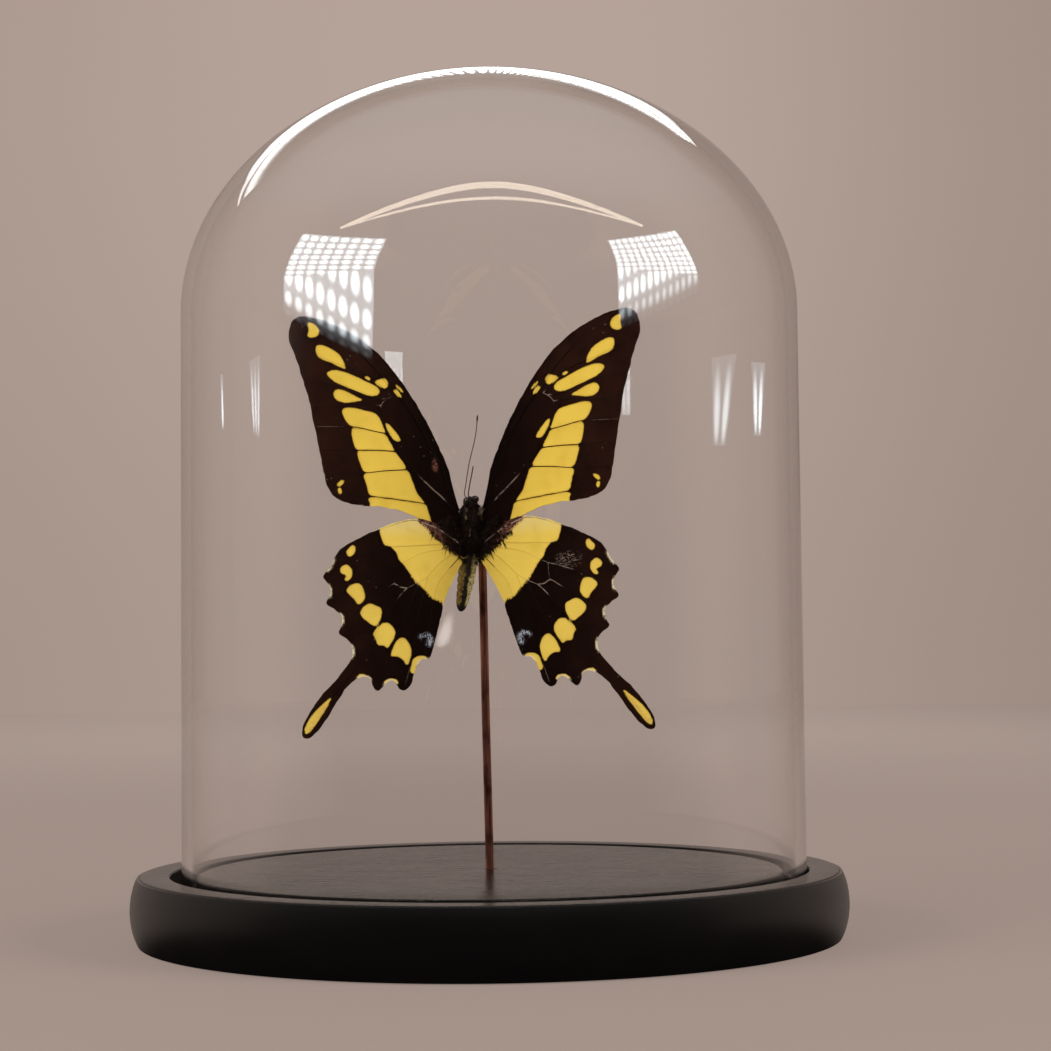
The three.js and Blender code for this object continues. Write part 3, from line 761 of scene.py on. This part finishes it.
# Each wing carries, at every point, what its scales are like there.
finishes = (upper, under, horn)
for side, word in ((-1, "left"), (1, "right")):
    name = f"forewing_scaled_{word}"
    forewing = made_wing(name, flat_forewing, side, FOREWING_HINGE_Y, FOREWING_VEINS, finishes)
    places = flat_place(forewing, side, False)
    marks = np.max([depth_inside(places, curved(m, 0.35, True)) for m in FOREWING_YELLOW], 0)
    note(forewing, "yellow", marks)
    note(forewing, "wedge", places[:, 1] > 30.5)
    for absent in ("blur", "pale", "blue", "scratched", "fringe"):
        note(forewing, absent, np.zeros(len(places)))
    # The forewing's black turns browner towards its outer margin and tip: partly the scales' own brown,
    # partly a painted sheen.
    outer = np.clip((places[:, 0] * 0.75 + places[:, 1] * 0.22 - 13) / 14, 0, 1)
    note(forewing, "brown", 0.25 + 1.2 * outer)
    fleck = depth_inside(places, curved(FLECK, 0.3, True))
    note(forewing, "bare", np.clip(fleck + 0.5, 0, 1) * (side < 0))
    note(forewing, "rubbed", rubbing(places, FOREWING_RUBBED))
    forewing.data.transform(MOUNTED)
    smooth(forewing, 50)
    finished(forewing, "forewing_scales", f"forewing_{word}")

    name = f"hindwing_scaled_{word}"
    hindwing = made_wing(name, flat_hindwing, side, HINDWING_HINGE_Y, HINDWING_VEINS, finishes)
    places = flat_place(hindwing, side, True)
    wedge = depth_inside(places, curved(WEDGE, 0.5, True))
    spots = np.max([depth_inside(places, curved(m, 0.35, True)) for m in HINDWING_YELLOW], 0)
    note(hindwing, "yellow", np.maximum(wedge, spots))
    note(hindwing, "wedge", distances(places, np.array(DARK_ROOT)) > 0.5)
    hairy = distances(places, curved(HAIRY_EDGE, 0.5))
    ragged = distances(places, np.array(RAGGED_EDGE))
    note(hindwing, "blur", np.maximum(2.6 * np.clip(1.4 - hairy, 0, 1), 1.6 * np.clip(1.6 - ragged, 0, 1)))
    note(hindwing, "pale", np.clip((places[:, 1] + 2.6) / 3.4, 0.12, 1))
    # The hindwing's black turns browner towards its outer margin: partly the scales' own brown, partly a
    # painted sheen.
    note(hindwing, "brown", 0.15 + 0.7 * np.clip((places[:, 0] - 18) / 10, 0, 1))
    eye = np.hypot(places[:, 0] - 12.0, places[:, 1] + 26.4)
    upper_side = np.clip((places[:, 1] + 27.4 + 1.1 * (12.2 - places[:, 0])) / 1.2, 0, 1)
    stout = 0.32 + 0.30 * np.clip((12.0 - places[:, 0]) / 1.2, 0, 1)
    note(hindwing, "blue", np.clip(1.5 - np.abs(eye - 1.25) / stout, 0, 1) * upper_side)
    humeral = np.clip(1.7 - np.abs(hairy - 0.9), 0, 1) * np.clip((places[:, 0] - 3.0) / 5.0, 0, 1)
    tail_streak = np.clip(1.2 - distances(places, np.array(TAIL_STREAK)) / 0.45, 0, 1)
    note(hindwing, "bare", np.maximum(0.42 * humeral * (wedge < 0.2), 0.45 * tail_streak))
    patch = np.hypot((places[:, 0] - 22.8) / 3.2, (places[:, 1] + 8.5) / 2.1)
    note(hindwing, "scratched", np.clip(2.2 - 2 * patch, 0, 1) * (side > 0))
    notch = np.min([np.hypot(*(places - n).T) for n in HINDWING_NOTCHES], 0)
    inside = depth_inside(places, hindwing_outline)
    note(hindwing, "fringe", np.clip(1.5 - inside / 0.22, 0, 1) * np.clip((1.9 - notch) / 0.6, 0, 1))
    lines = HINDWING_RUBBED + (RIGHT_HINDWING_RUBBED if side > 0 else [])
    note(hindwing, "rubbed", rubbing(places, lines))
    hindwing.data.transform(MOUNTED)
    smooth(hindwing, 50)
    finished(hindwing, "hindwing_scales", f"hindwing_{word}")

for flat in (flat_forewing, flat_hindwing):
    bpy.data.objects.remove(flat)

# ---- Body ----
# The dry body: a head with two compound eyes and furry palps, a breast under black hair
# with six legs folded against it, and a tapering abdomen of nine rings.
ABDOMEN_ROOT = Vector((-0.2, 1.9, -4.4))
ABDOMEN_AXIS = Vector((-0.19, 0.05, -1)).normalized()
# Where each ring starts down the abdomen, and its radius there.
RINGS = [
    (0.0, 1.9), (1.7, 2.12), (3.5, 2.14), (5.3, 2.12), (7.1, 2.06), (8.9, 1.92), (10.6, 1.75),
    (12.3, 1.58), (14.0, 1.32), (15.3, 0.6),
]
BREAST, HEAD = Vector((0, 1.9, -0.3)), Vector((0.1, 1.5, 6.6))


def ball(name, centre, radii, around=32, rings=20):
    """An egg shape with these three radii."""
    deselect()
    bpy.ops.mesh.primitive_uv_sphere_add(segments=around, ring_count=rings, radius=1)
    piece = named(name)
    piece.data.transform(Matrix.Translation(centre) @ Matrix.Diagonal((*radii, 1)))
    return piece


def roughened(piece, size, depth):
    """Pushes each point of a piece in or out a little, as flesh dries."""
    for vertex in piece.data.vertices:
        vertex.co += vertex.normal * noise.noise(vertex.co / size) * depth
    return piece


breast = roughened(ball("body_of_butterfly", BREAST, (3.2, 3.1, 7.1), 40, 32), 1.6, 0.35)
head = roughened(ball("head", HEAD, (1.65, 1.4, 1.5)), 0.9, 0.12)

profile = []
for (s0, r0), (s1, r1) in zip(RINGS, RINGS[1:]):
    for t in (0.0, 0.25, 0.5, 0.75, 0.93):
        swell = 1 + 0.055 * math.sin(math.pi * min(t / 0.95, 1)) - (0.05 if t in (0.0, 0.93) else 0)
        profile.append(((r0 + (r1 - r0) * t) * swell, s0 + (s1 - s0) * t))
profile = [(0, profile[0][1]), *profile, (0.3, 15.45), (0, 15.5)]
abdomen = turned("abdomen", profile, 40)
abdomen.data.transform(Matrix.Scale(1 / MM, 4))
turn = ABDOMEN_AXIS.to_track_quat("Z", "Y").to_matrix().to_4x4()
abdomen.data.transform(Matrix.Translation(ABDOMEN_ROOT) @ turn)
roughened(abdomen, 1.1, 0.12)

LEGS = [
    [(1.0, 4.0, 4.8), (1.7, 4.7, 5.6), (1.4, 4.3, 7.0), (0.8, 3.4, 8.0)],
    [(1.2, 4.6, 2.6), (2.5, 5.0, 3.1), (2.4, 5.0, 4.9), (1.7, 4.6, 6.4)],
    [(0.4, 4.6, -1.2), (0.6, 5.2, -3.4), (0.0, 4.9, -6.6), (-0.5, 4.4, -9.6)],
]
legs, palps = [], []
for leg in LEGS:
    for side in (-1, 1):
        line = curved([(side * x, y, z) for x, y, z in leg], 0.35)
        along = np.linspace(0, 1, len(line))
        radii = 0.34 - 0.16 * along + 0.05 * np.sin(along * math.pi * 3)
        legs.append(strand("leg", line, radii, 3))

PALP = [(0.35, 1.6, 7.4), (0.5, 2.3, 7.8), (0.45, 2.6, 8.2)]
for side in (-1, 1):
    line = curved([(0.15 + side * x, y, z) for x, y, z in PALP], 0.2)
    palps.append(strand("palp", line, 0.42 * np.sin(np.linspace(0.5, 2.6, len(line))), 3))

EYES = [((-1.05, 0.6, 6.7), (0.8, 0.95, 1.25)), ((1.1, 0.6, 7.35), (1.0, 0.95, 0.9))]
eyes = [ball("eye", centre, radii, 32, 20) for centre, radii in EYES]

hide = Finish("dry_insect_hide", Specular_IOR_Level=0.35)
lumps = hide.mottle(0.5, detail=4)
hide.feed("Base Color", hide.blend(lumps, (0.004, 0.0025, 0.002), (0.026, 0.018, 0.012)))
hide.feed("Roughness", 0.45 + lumps * 0.3)
hide.relief(lumps, 0.12)

compound = Finish("compound_eye", Roughness=0.22, Coat_Weight=0.4, Coat_Roughness=0.1)
facets = compound.grains(0.13, out="Distance")
compound.feed("Base Color", compound.blend(facets, (0.016, 0.010, 0.007), (0.004, 0.003, 0.0025)))
compound.relief(1 - facets, 0.03)

rings = Finish("abdomen_scales", Specular_IOR_Level=0.3)
stripe = (rings.noted("round") + rings.mottle(1.0, detail=4) * 1.3 - 0.65).ramp(0.44, 0.20)
worn = rings.mottle(0.6, detail=3).ramp(0.35, 0.65)
olive = rings.blend(worn, (0.19, 0.125, 0.026), (0.080, 0.050, 0.014))
worn = rings.mottle(0.5, detail=3).ramp(0.35, 0.65)
pale = rings.blend(worn, (0.50, 0.42, 0.17), (0.13, 0.095, 0.032))
# Painted highlight: the right half is a paler copy of the olive-yellow scales, and the left half stays darker
# olive.
coat = rings.blend(rings.noted("right"), olive, pale)
joint = rings.noted("joint") * rings.mottle(0.8).ramp(0.35, 0.6)
coat = rings.blend(joint * 0.55, coat, (0.05, 0.036, 0.016))
coat = rings.blend(stripe.most(rings.noted("tip")), coat, (0.014, 0.010, 0.008))
rings.feed("Base Color", coat)
rings.feed("Roughness", 0.6 + 0.2 * rings.mottle(0.3))
rings.relief(rings.mottle(0.18, detail=3), 0.10)

hide.put_on(breast, head, *legs, *palps)
compound.put_on(*eyes)
rings.put_on(abdomen)
# The abdomen's finish reads how far round from the front and how far down a point lies.
axis = np.array(ABDOMEN_AXIS)
points = coords(abdomen) - np.array(ABDOMEN_ROOT)
along = points @ axis
across = points - along[:, None] * axis
spin = np.arctan2(across[:, 0], -across[:, 1])
note(abdomen, "round", np.abs(spin - 0.12))
# Marks the right half, which the finish paints paler as a painted highlight.
note(abdomen, "right", np.clip(spin * 3, 0, 1))
note(abdomen, "joint", np.clip(1 - np.min([np.abs(along - s) for s, r in RINGS], 0) / 0.28, 0, 1))
note(abdomen, "tip", np.clip((along - 13.8) / 0.5, 0, 1))
members = [breast, head, *legs, *palps, *eyes, abdomen]
for piece in members:
    smooth(piece, 60)
body = joined(members)
body.data.transform(MOUNTED)
finished(body, "body_hair", "body")

# The hair: one curved tuft modelled once, and laid over the breast and the wing roots
# from the head down, thicker and longer where the hindwings join the body.
HAIRS_IN_TUFT, BREAST_TUFTS, HEAD_TUFTS, ROOT_TUFTS, FRINGE_TUFTS = 9, 520, 110, 560, 64
random.seed(5)


def stray(most):
    """A random number between -most and most."""
    return random.uniform(-most, most)


deselect()
hairs = []
for i in range(HAIRS_IN_TUFT):
    bpy.ops.mesh.primitive_cone_add(vertices=3, radius1=0.055, radius2=0.0, depth=1.0)
    hair = bpy.context.object
    with editing():
        for level in (-0.2, 0.15):
            score((0, 0, level), UP)
    bend = stray(0.3)
    for vertex in hair.data.vertices:
        up = vertex.co.z + 0.5
        vertex.co = (vertex.co.x + bend * up * up * 0.6, vertex.co.y - 0.25 * up * up, up)
    length = random.uniform(0.7, 1.25)
    root = (stray(0.22), stray(0.22), 0)
    splay = Matrix.Rotation(stray(0.3), 4, "X") @ Matrix.Rotation(stray(0.35), 4, "Y")
    hair.data.transform(Matrix.Translation(root) @ splay @ Matrix.Diagonal((1, 1, length, 1)))
    hairs.append(hair)
joined(hairs)
tuft = named("hair_tuft")


def lay_tuft(place, outward, flow, length, rise):
    """A copy of the tuft at a place, combed along flow and lifted by rise."""
    across = outward.cross(flow).normalized()
    comb = (across.cross(outward)).normalized()
    up = (comb + outward * rise).normalized()
    back = across.cross(up).normalized()
    lie_of_hair = Matrix((across, back, up)).transposed().to_4x4()
    copy = placed("tuft", tuft.data.copy())
    copy.data.transform(Matrix.Translation(place) @ lie_of_hair @ Matrix.Scale(length, 4))
    return copy


def on_line(points, share):
    """The place at this share of the way along a line of evenly counted points."""
    steps = np.linspace(0, 1, len(points))
    return np.array([np.interp(share, steps, axis) for axis in np.transpose(points)])


def round_about(angle, level):
    """The direction at this angle round from the front, at a level from -1 to 1."""
    ring = math.sqrt(1 - level * level)
    return Vector((math.sin(angle) * ring, -math.cos(angle) * ring, level))


def lay_on_hindwing(side, x, z, above, flow, length, rise):
    """Lays a tuft this far above the upper face of a hindwing."""
    y = lie(np.array([side * x]), np.array([z]), side, HINDWING_HINGE_Y)[0] - above
    outward = Vector((side * 0.55, -0.8, 0)).normalized()
    return lay_tuft(Vector((side * x, y, z)), outward, flow, length, rise)


tufts = []
breast_radii, head_radii = Vector((3.15, 3.05, 7.0)), Vector((1.6, 1.35, 1.45))
for i in range(BREAST_TUFTS):
    angle, level = stray(2.5), random.uniform(-0.93, 0.9)
    way = round_about(angle, level)
    outward = Vector([a / radius for a, radius in zip(way, breast_radii)]).normalized()
    flow = Vector((0.35 * math.sin(angle) + stray(0.25), stray(0.15), -1))
    length, rise = random.uniform(0.9, 1.6), random.uniform(0.15, 0.4)
    tufts.append(lay_tuft(BREAST + way * breast_radii, outward, flow, length, rise))
for i in range(HEAD_TUFTS):
    angle, level = stray(3.1), random.uniform(-0.6, 0.85)
    outward = round_about(angle, level).normalized()
    place = HEAD + outward * head_radii
    if any((place - Vector(centre)).length < max(radii) + 0.35 for centre, radii in EYES):
        continue
    flow = Vector((stray(0.4), random.uniform(-0.2, 0.3), -1))
    tufts.append(lay_tuft(place, outward, flow, random.uniform(0.5, 0.9), random.uniform(0.3, 0.8)))
for i in range(ROOT_TUFTS):
    side = random.choice((-1, 1))
    share = random.random() ** 0.8
    x = 1.6 + 5.6 * share * random.uniform(0.6, 1.0)
    z = random.uniform(-7.4, -1.6) + 5.0 * share
    if z < -6.9 + 0.62 * (x - 2.0) or z > 4:
        continue
    flow = Vector((side * random.uniform(0.5, 1.1), -0.4, -random.uniform(0.2, 0.9)))
    length, rise = random.uniform(1.1, 2.1), random.uniform(0.05, 0.3)
    tufts.append(lay_on_hindwing(side, x, z, 0.12, flow, length, rise))

# A fringe of it hangs over the yellow below the breast, with a few longer hairs.
FRINGE = [(0.9, -8.3), (3.4, -6.2), (6.4, -3.9), (9.3, -0.9)]
for side in (-1, 1):
    for share in np.linspace(0, 1, FRINGE_TUFTS):
        x, z = on_line(FRINGE, share) + np.array([stray(0.4), random.uniform(-0.1, 0.5)])
        flow = Vector((side * random.uniform(0.2, 0.9), -0.1, -1))
        length = random.uniform(0.7, 1.3) if random.random() < 0.93 else 2.6
        tufts.append(lay_on_hindwing(side, x, z, 0.2, flow, length, 0.1))

# Pale locks lie in the black: two streaks down the breast, one on its ridge, and a brown
# tuft that stands up at the right shoulder.
# Each is given as its first and last place, which way it is combed, its tufts and their length.
PALE_LOCKS = [((-0.8, 4.8), (-1.0, 2.6), -1, 9, 0.8), ((1.75, 5.2), (2.25, 2.4), -1, 13, 0.9),
              ((-0.05, 0.4), (-0.4, -1.3), -1, 6, 0.5), ((1.8, 3.2), (2.5, 4.2), 1, 14, 1.7)]
locks = []
for start, end, comb, count, length in PALE_LOCKS:
    for share in np.linspace(0, 1, count):
        x, z = Vector(start).lerp(Vector(end), share) + Vector((stray(0.12), stray(0.2)))
        deep = math.sqrt(max(0.02, 1 - (x / 3.15) ** 2 - ((z + 0.3) / 7) ** 2))
        outward = Vector((x / 3.15**2, -deep / 3.05, (z + 0.3) / 49)).normalized()
        flow = Vector((0.3 * comb, -0.1, comb))
        place = Vector((x, 1.9 - 3.05 * deep, z)) + outward * 0.5
        locks.append(lay_tuft(place, outward, flow, length * random.uniform(0.7, 1.1), 0.35))
fur, pale_fur = joined([tuft, *tufts]), joined(locks)
for coat_name, hair, deep, light in (
        ("black_brown", fur, (0.005, 0.0022, 0.0017), (0.032, 0.016, 0.011)),
        ("pale_brown", pale_fur, (0.07, 0.048, 0.030), (0.40, 0.32, 0.22))):
    hair.name = hair.data.name = f"body_fur_{coat_name}"
    hair_coat = Finish(f"{coat_name}_hair", Roughness=0.42, Specular_IOR_Level=0.16)
    bleached = hair_coat.mottle(0.9, detail=2).ramp(0.42, 0.7)
    hair_coat.feed("Base Color", hair_coat.blend(bleached, deep, light))
    hair_coat.put_on(hair)
    hair.data.transform(MOUNTED)
    smooth(hair, 180)
    finished(hair, "body_hair")

# ---- Antennae ----
# Two thin ringed feelers of dark horn. The long one ends in a slight club, and the
# short one is broken off square.
LONG_FEELER = [(-1.0, 0.9, 7.9), (-1.45, 0.85, 8.8), (-1.0, 0.7, 11.2), (-0.4, 0.4, 14.6), (0.3, 0.0, 17.6),
               (1.2, -0.5, 20.8), (1.8, -0.9, 23.6), (2.15, -1.2, 26.6), (2.25, -1.3, 27.6)]
SHORT_FEELER = [(-0.3, 0.9, 7.9), (-0.5, 0.8, 8.6), (-0.1, 0.5, 10.9), (0.4, 0.1, 13.1), (0.87, -0.3, 15.3)]

feeler_horn = Finish("feeler_horn", Specular_IOR_Level=0.4)
grain = feeler_horn.mottle(0.3, detail=2)
feeler_horn.feed("Base Color", feeler_horn.blend(grain, (0.02, 0.013, 0.010), (0.06, 0.04, 0.03)))
feeler_horn.feed("Roughness", 0.4 + grain * 0.25)
feeler_horn.relief(grain, 0.03)

for word, points, thick in (("left", LONG_FEELER, 0.10), ("right", SHORT_FEELER, 0.14)):
    line = curved(points, 0.16)
    along = np.linspace(0, 1, len(line))
    radii = thick * (1 + 0.16 * (np.arange(len(line)) % 3 == 0))
    if word == "left":
        radii = radii + 0.12 * np.exp(-(((along - 0.955) / 0.028) ** 2))
        radii[-1] = 0.05
    feeler = strand(f"feeler_{word}", line, radii, 2)
    feeler_horn.put_on(feeler)
    feeler.data.transform(MOUNTED)
    smooth(feeler, 70)
    finished(feeler, "antenna_horn", f"antenna_{word}")

# ---- Studio ----
# A sweep of warm grey paper under and behind the display, and a soft box at each side. Glass
# and lacquer mirror a dark room in front, and the glass alone mirrors its small lamps.
deselect()
bpy.ops.mesh.primitive_plane_add(size=6, location=(0, -0.6, 0))
sweep = named("paper_sweep")
with editing():
    select_where("edges", lambda edge: all(v.co.y > 2.9 for v in edge.verts))
    bpy.ops.mesh.extrude_region_move(TRANSFORM_OT_translate={"value": (0, 0, 3.5)})
    select_where("edges", lambda edge: all(v.co.y > 2.9 and v.co.z < 0.1 for v in edge.verts))
    bpy.ops.mesh.bevel(offset=1.4, segments=16)
pick(sweep)
bpy.ops.object.transform_apply(location=True, rotation=False, scale=False)
smooth(sweep, 60)
# The paper glows with painted light: brightest in the middle of the wall, dimmer at its sides and low down,
# and dimmest on the floor towards the front.
WALL_GLOW_LEFT, WALL_GLOW_MIDDLE, WALL_GLOW_RIGHT = (0.345, 0.275, 0.241), (0.395, 0.318, 0.280), (0.300, 0.237, 0.206)
FLOOR_GLOW = (0.230, 0.181, 0.159)
DARK_ROOM, DARK_FLOOR, CEILING = (0.010, 0.0085, 0.0075), (0.006, 0.005, 0.0045), (0.50, 0.47, 0.45)
# How far to the front a direction points where the dark room starts and is full.
FRONT = (0.0, -0.45)
paper = Finish("warm_grey_paper", Roughness=0.9, Specular_IOR_Level=0.05, Emission_Strength=1.0)
spot = paper.node("ShaderNodeTexCoord", out="Object")
aside, back, height = paper.parts(spot, 0, 1, 2)
bearing = paper.node("ShaderNodeVectorMath", {"operation": "NORMALIZE"}, {0: spot})
front_floor = paper.mirrored() * paper.parts(bearing, 1)[0].ramp(*FRONT)
shade = paper.blend(paper.mottle(300, detail=2), (0.10, 0.080, 0.071), (0.115, 0.092, 0.082))
paper.feed("Base Color", paper.blend(front_floor, shade, DARK_FLOOR))
wall = paper.blend(aside.ramp(-0.8, -0.15), WALL_GLOW_LEFT, WALL_GLOW_MIDDLE)
wall = paper.blend(aside.ramp(0.15, 0.8), wall, WALL_GLOW_RIGHT)
# Painted light: the glow fades from the wall's colours to the dimmer floor glow towards the front and low
# down.
glow = paper.blend(back.ramp(0.0, 1.5) * (0.67 + 0.33 * height.ramp(0, 0.8)), FLOOR_GLOW, wall)
paper.feed("Emission Color", paper.blend(front_floor, glow, DARK_FLOOR))
paper.put_on(sweep)


def towards(azimuth, elevation):
    """The direction at these degrees round from the front and up."""
    azimuth, elevation = math.radians(azimuth), math.radians(elevation)
    return Vector((math.sin(azimuth) * math.cos(elevation), -math.cos(azimuth) * math.cos(elevation),
                   math.sin(elevation)))


# The lamps stand round the middle of the dome, at these distances in metres.
HEART, LAMPS_AWAY, RAIL_AWAY, TUBES_AWAY = Vector((0, 0, 0.11)), 1.3, 1.5, 0.9
WHITE, COOL, ROSY, AMBER = (1.0, 0.97, 0.95), (0.86, 0.95, 1.0), (1.0, 0.93, 0.90), (1.0, 0.86, 0.68)


def soft_box(name, azimuth, elevation, size, watts):
    """A soft box that lights the display."""
    light = bpy.data.lights.new(name, "AREA")
    light.shape, light.size, light.size_y = "RECTANGLE", *size
    light.energy, light.color = watts, WHITE
    box = placed(name, light)
    box.location = HEART + LAMPS_AWAY * towards(azimuth, elevation)
    box.rotation_euler = (HEART - box.location).to_track_quat("-Z", "Y").to_euler()
    box.visible_glossy = box.visible_transmission = False


def reflected_only(piece):
    """A lamp that the glass mirrors, but that is too small or too far off to light anything."""
    piece.visible_camera = piece.visible_diffuse = piece.visible_shadow = False


def lamp_face(name, glow, spot, colour, columns=1, rows=1, fade=0.001, crossings=(0,)):
    """An even glow with brighter round spots in it, closer together low down, and fading at the foot.

    Only polished glass shows it, to a ray that has crossed one of these numbers of glass faces:
    0 for the outside of the dome's near wall, and 4 for the inside of its far wall.
    """
    face = Finish(name, (0, 0, 0), Roughness=1.0, Specular_IOR_Level=0.0, Emission_Strength=1.0)
    along, level = face.parts(face.node("ShaderNodeTexCoord", out="UV"), 0, 1)
    cell = face.node("ShaderNodeCombineXYZ", {}, {0: along * columns, 1: level**0.6 * rows})
    cell = face.node("ShaderNodeVectorMath", {"operation": "FRACTION"}, {0: cell})
    from_middle = {0: cell, 1: (0.5, 0.5, 0)}
    cell = face.node("ShaderNodeVectorMath", {"operation": "DISTANCE"}, from_middle, out="Value")
    dim, bright = tuple(c * glow for c in colour), tuple(c * spot for c in colour)
    lit = face.blend(cell.ramp(0.5, 0.12), dim, bright)
    face.feed("Emission Color", face.blend(level.ramp(0, fade), (0, 0, 0), lit))
    nothing = face.node("ShaderNodeBsdfTransparent")
    path = ("Glossy Depth", "Transmission Depth", "Is Singular Ray")
    depth, crossed, polished = [face.node("ShaderNodeLightPath", out=out) for out in path]
    wall = sum(crossed.maths("COMPARE", count, 0.5) for count in crossings)
    seen = depth.maths("COMPARE", 1, 0.5) * polished * wall
    face.show(seen, nothing, Wire(face, face.shader.outputs[0]))
    face.material.cycles.emission_sampling = "NONE"
    return face


def screen(name, high, low, face, distance=LAMPS_AWAY):
    """A bowed screen of lamps between two lines of (degrees round from the front, degrees up)."""
    deselect()
    bpy.ops.mesh.primitive_grid_add(x_subdivisions=32, y_subdivisions=12, size=2)
    piece = named(name)
    for vertex in piece.data.vertices:
        along, up = (vertex.co.x + 1) / 2, (vertex.co.y + 1) / 2
        vertex.co = HEART + distance * towards(*(on_line(low, along) * (1 - up) + on_line(high, along) * up))
    face.put_on(piece)
    reflected_only(piece)


soft_box("soft_box_left", -59, 19, (0.86, 0.36), 20.5)
soft_box("soft_box_right", 63, 19, (0.74, 0.34), 19.0)
screen("window_left", [(-73.7, 29.1), (-36.9, 25.9)], [(-76.8, 10.2), (-40.7, 8.0)],
       lamp_face("window_left", 7.5, 34, COOL, 8, 10, 0.08))
screen("window_left_foot", [(-62, 9.4), (-57.5, 9.4)], [(-62, 7.2), (-57.8, 7.2)],
       lamp_face("window_left_foot", 5, 16, COOL, 2, crossings=(4,)))
screen("window_right", [(43.7, 24.6), (74.7, 29.4)], [(45.6, 9.3), (79.0, 10.9)],
       lamp_face("window_right", 8, 32, COOL, 12, 10, 0.12))
screen("window_right_foot", [(46, 9.8), (38, 9.8)], [(46, 7.2), (38, 7.2)],
       lamp_face("window_right_foot", 4, 26, COOL, 5, crossings=(4,)))

# A lit rail runs high round behind with a row of beads over it. The dome shows both along its top.
rail, beads = lamp_face("rail_behind", 4, 4, WHITE, fade=0.45), lamp_face("beads_behind", 0.5, 8, WHITE, 42)
for bearings, rail_high, rail_low, beads_high, beads_low in (
        ((-180, -167, -154, -141, -128), (35.0, 34.6, 34.8, 34.6, 31.8), (24, 25.5, 29.8, 32, 31.2),
         (42.2, 41.6, 41.0, 40.6, 38.4), (35.0, 34.6, 34.8, 34.8, 32.9)),
        ((-180, -188, -196, -204, -214), (35.0, 36.2, 38.0, 38.9, 38.7), (24, 25.5, 30, 35, 38),
         (42.2, 43.8, 45.0, 44.6, 42.6), (35.0, 36.2, 38.0, 38.9, 38.5))):
    screen("rail_behind", [*zip(bearings, rail_high)], [*zip(bearings, rail_low)], rail, RAIL_AWAY)
    screen("beads_behind", [*zip(bearings, beads_high)], [*zip(bearings, beads_low)], beads, RAIL_AWAY)
for name, high, low, count in (
        ("near_left", [(-94, 8.3), (-88, 8.6)], [(-92, 5.8), (-88.5, 5.6)], 3),
        ("far_left", [(-112, 7.9), (-110, 7.9)], [(-111, 6.0), (-109.5, 6.0)], 1),
        ("near_right", [(84.5, 8.2), (98, 8.5)], [(84.5, 5.2), (91, 5.2)], 2),
        ("far_right", [(107, 8.2), (117, 8.2)], [(108, 5.6), (113, 5.6)], 2)):
    screen(f"side_lamp_{name}", high, low, lamp_face(f"side_lamp_{name}", 1.4, 10, COOL, count))
screen("small_lamp", [(-16.5, -0.3), (-10.5, -0.2)], [(-20.5, -1.6), (-14, -1.6)],
       lamp_face("small_lamp", 0, 8, ROSY))

# Two bowed tubes hang high in front, and the dome shows them as a double arc.
tube_glass = lamp_face("warm_tube", 11, 11, AMBER, crossings=(0, 4))
bows = [(a + 1.5, math.cos(math.radians(1.53 * a))) for a in range(-58, 59, 4)]
for rise, thickness in ((22.8, 0.028), (15.6, 0.013)):
    places = [tuple(HEART + TUBES_AWAY * towards(a, 31 + rise * bow)) for a, bow in bows]
    tube = strand("warm_tube", places, [thickness * (0.2 + 0.8 * bow**0.6) for a, bow in bows], 2)
    tube_glass.put_on(tube)
    reflected_only(tube)

world = bpy.data.worlds.new("soft_room")
world.use_nodes = True
room = Nodes(world.node_tree)
look = room.node("ShaderNodeTexCoord", out="Generated")
forward, upward = room.parts(look, 1, 2)
pale = room.blend(upward.ramp(0.4, 1.0), (0.37, 0.292, 0.252), CEILING)
dark = room.blend(upward.ramp(0.5, 1.0), DARK_ROOM, CEILING)
colour = room.blend(room.mirrored() * forward.ramp(*FRONT), pale, dark)
room.tree.links.new(colour.socket, room.tree.nodes["Background"].inputs["Color"])
bpy.context.scene.world = world
bpy.context.scene.view_settings.view_transform = "Standard"

# The camera stands in front, a little above the base, and looks slightly up.
CAMERA_PLACE, PITCH, YAW, ROLL = (0.0029, -0.5537, 0.06692), 0.0579, 0.0117, -0.0103
SENSOR, PICTURE_PIXELS, FOCAL_PIXELS = 36, 1051, 2271.8
deselect()
bpy.ops.object.camera_add()
camera = bpy.context.object
ahead = Vector((math.sin(YAW) * math.cos(PITCH), math.cos(YAW) * math.cos(PITCH), math.sin(PITCH)))
right = ahead.cross(Vector((0, 0, 1))).normalized()
above = right.cross(ahead)
across = right * math.cos(ROLL) + above * math.sin(ROLL)
upright = above * math.cos(ROLL) - right * math.sin(ROLL)
aim = Matrix((across, upright, -ahead)).transposed().to_4x4()
camera.matrix_world = Matrix.Translation(CAMERA_PLACE) @ aim
camera.data.sensor_width = SENSOR
camera.data.lens = FOCAL_PIXELS / PICTURE_PIXELS * SENSOR
camera.data.clip_start, camera.data.clip_end = 0.01, 50
bpy.context.scene.camera = camera
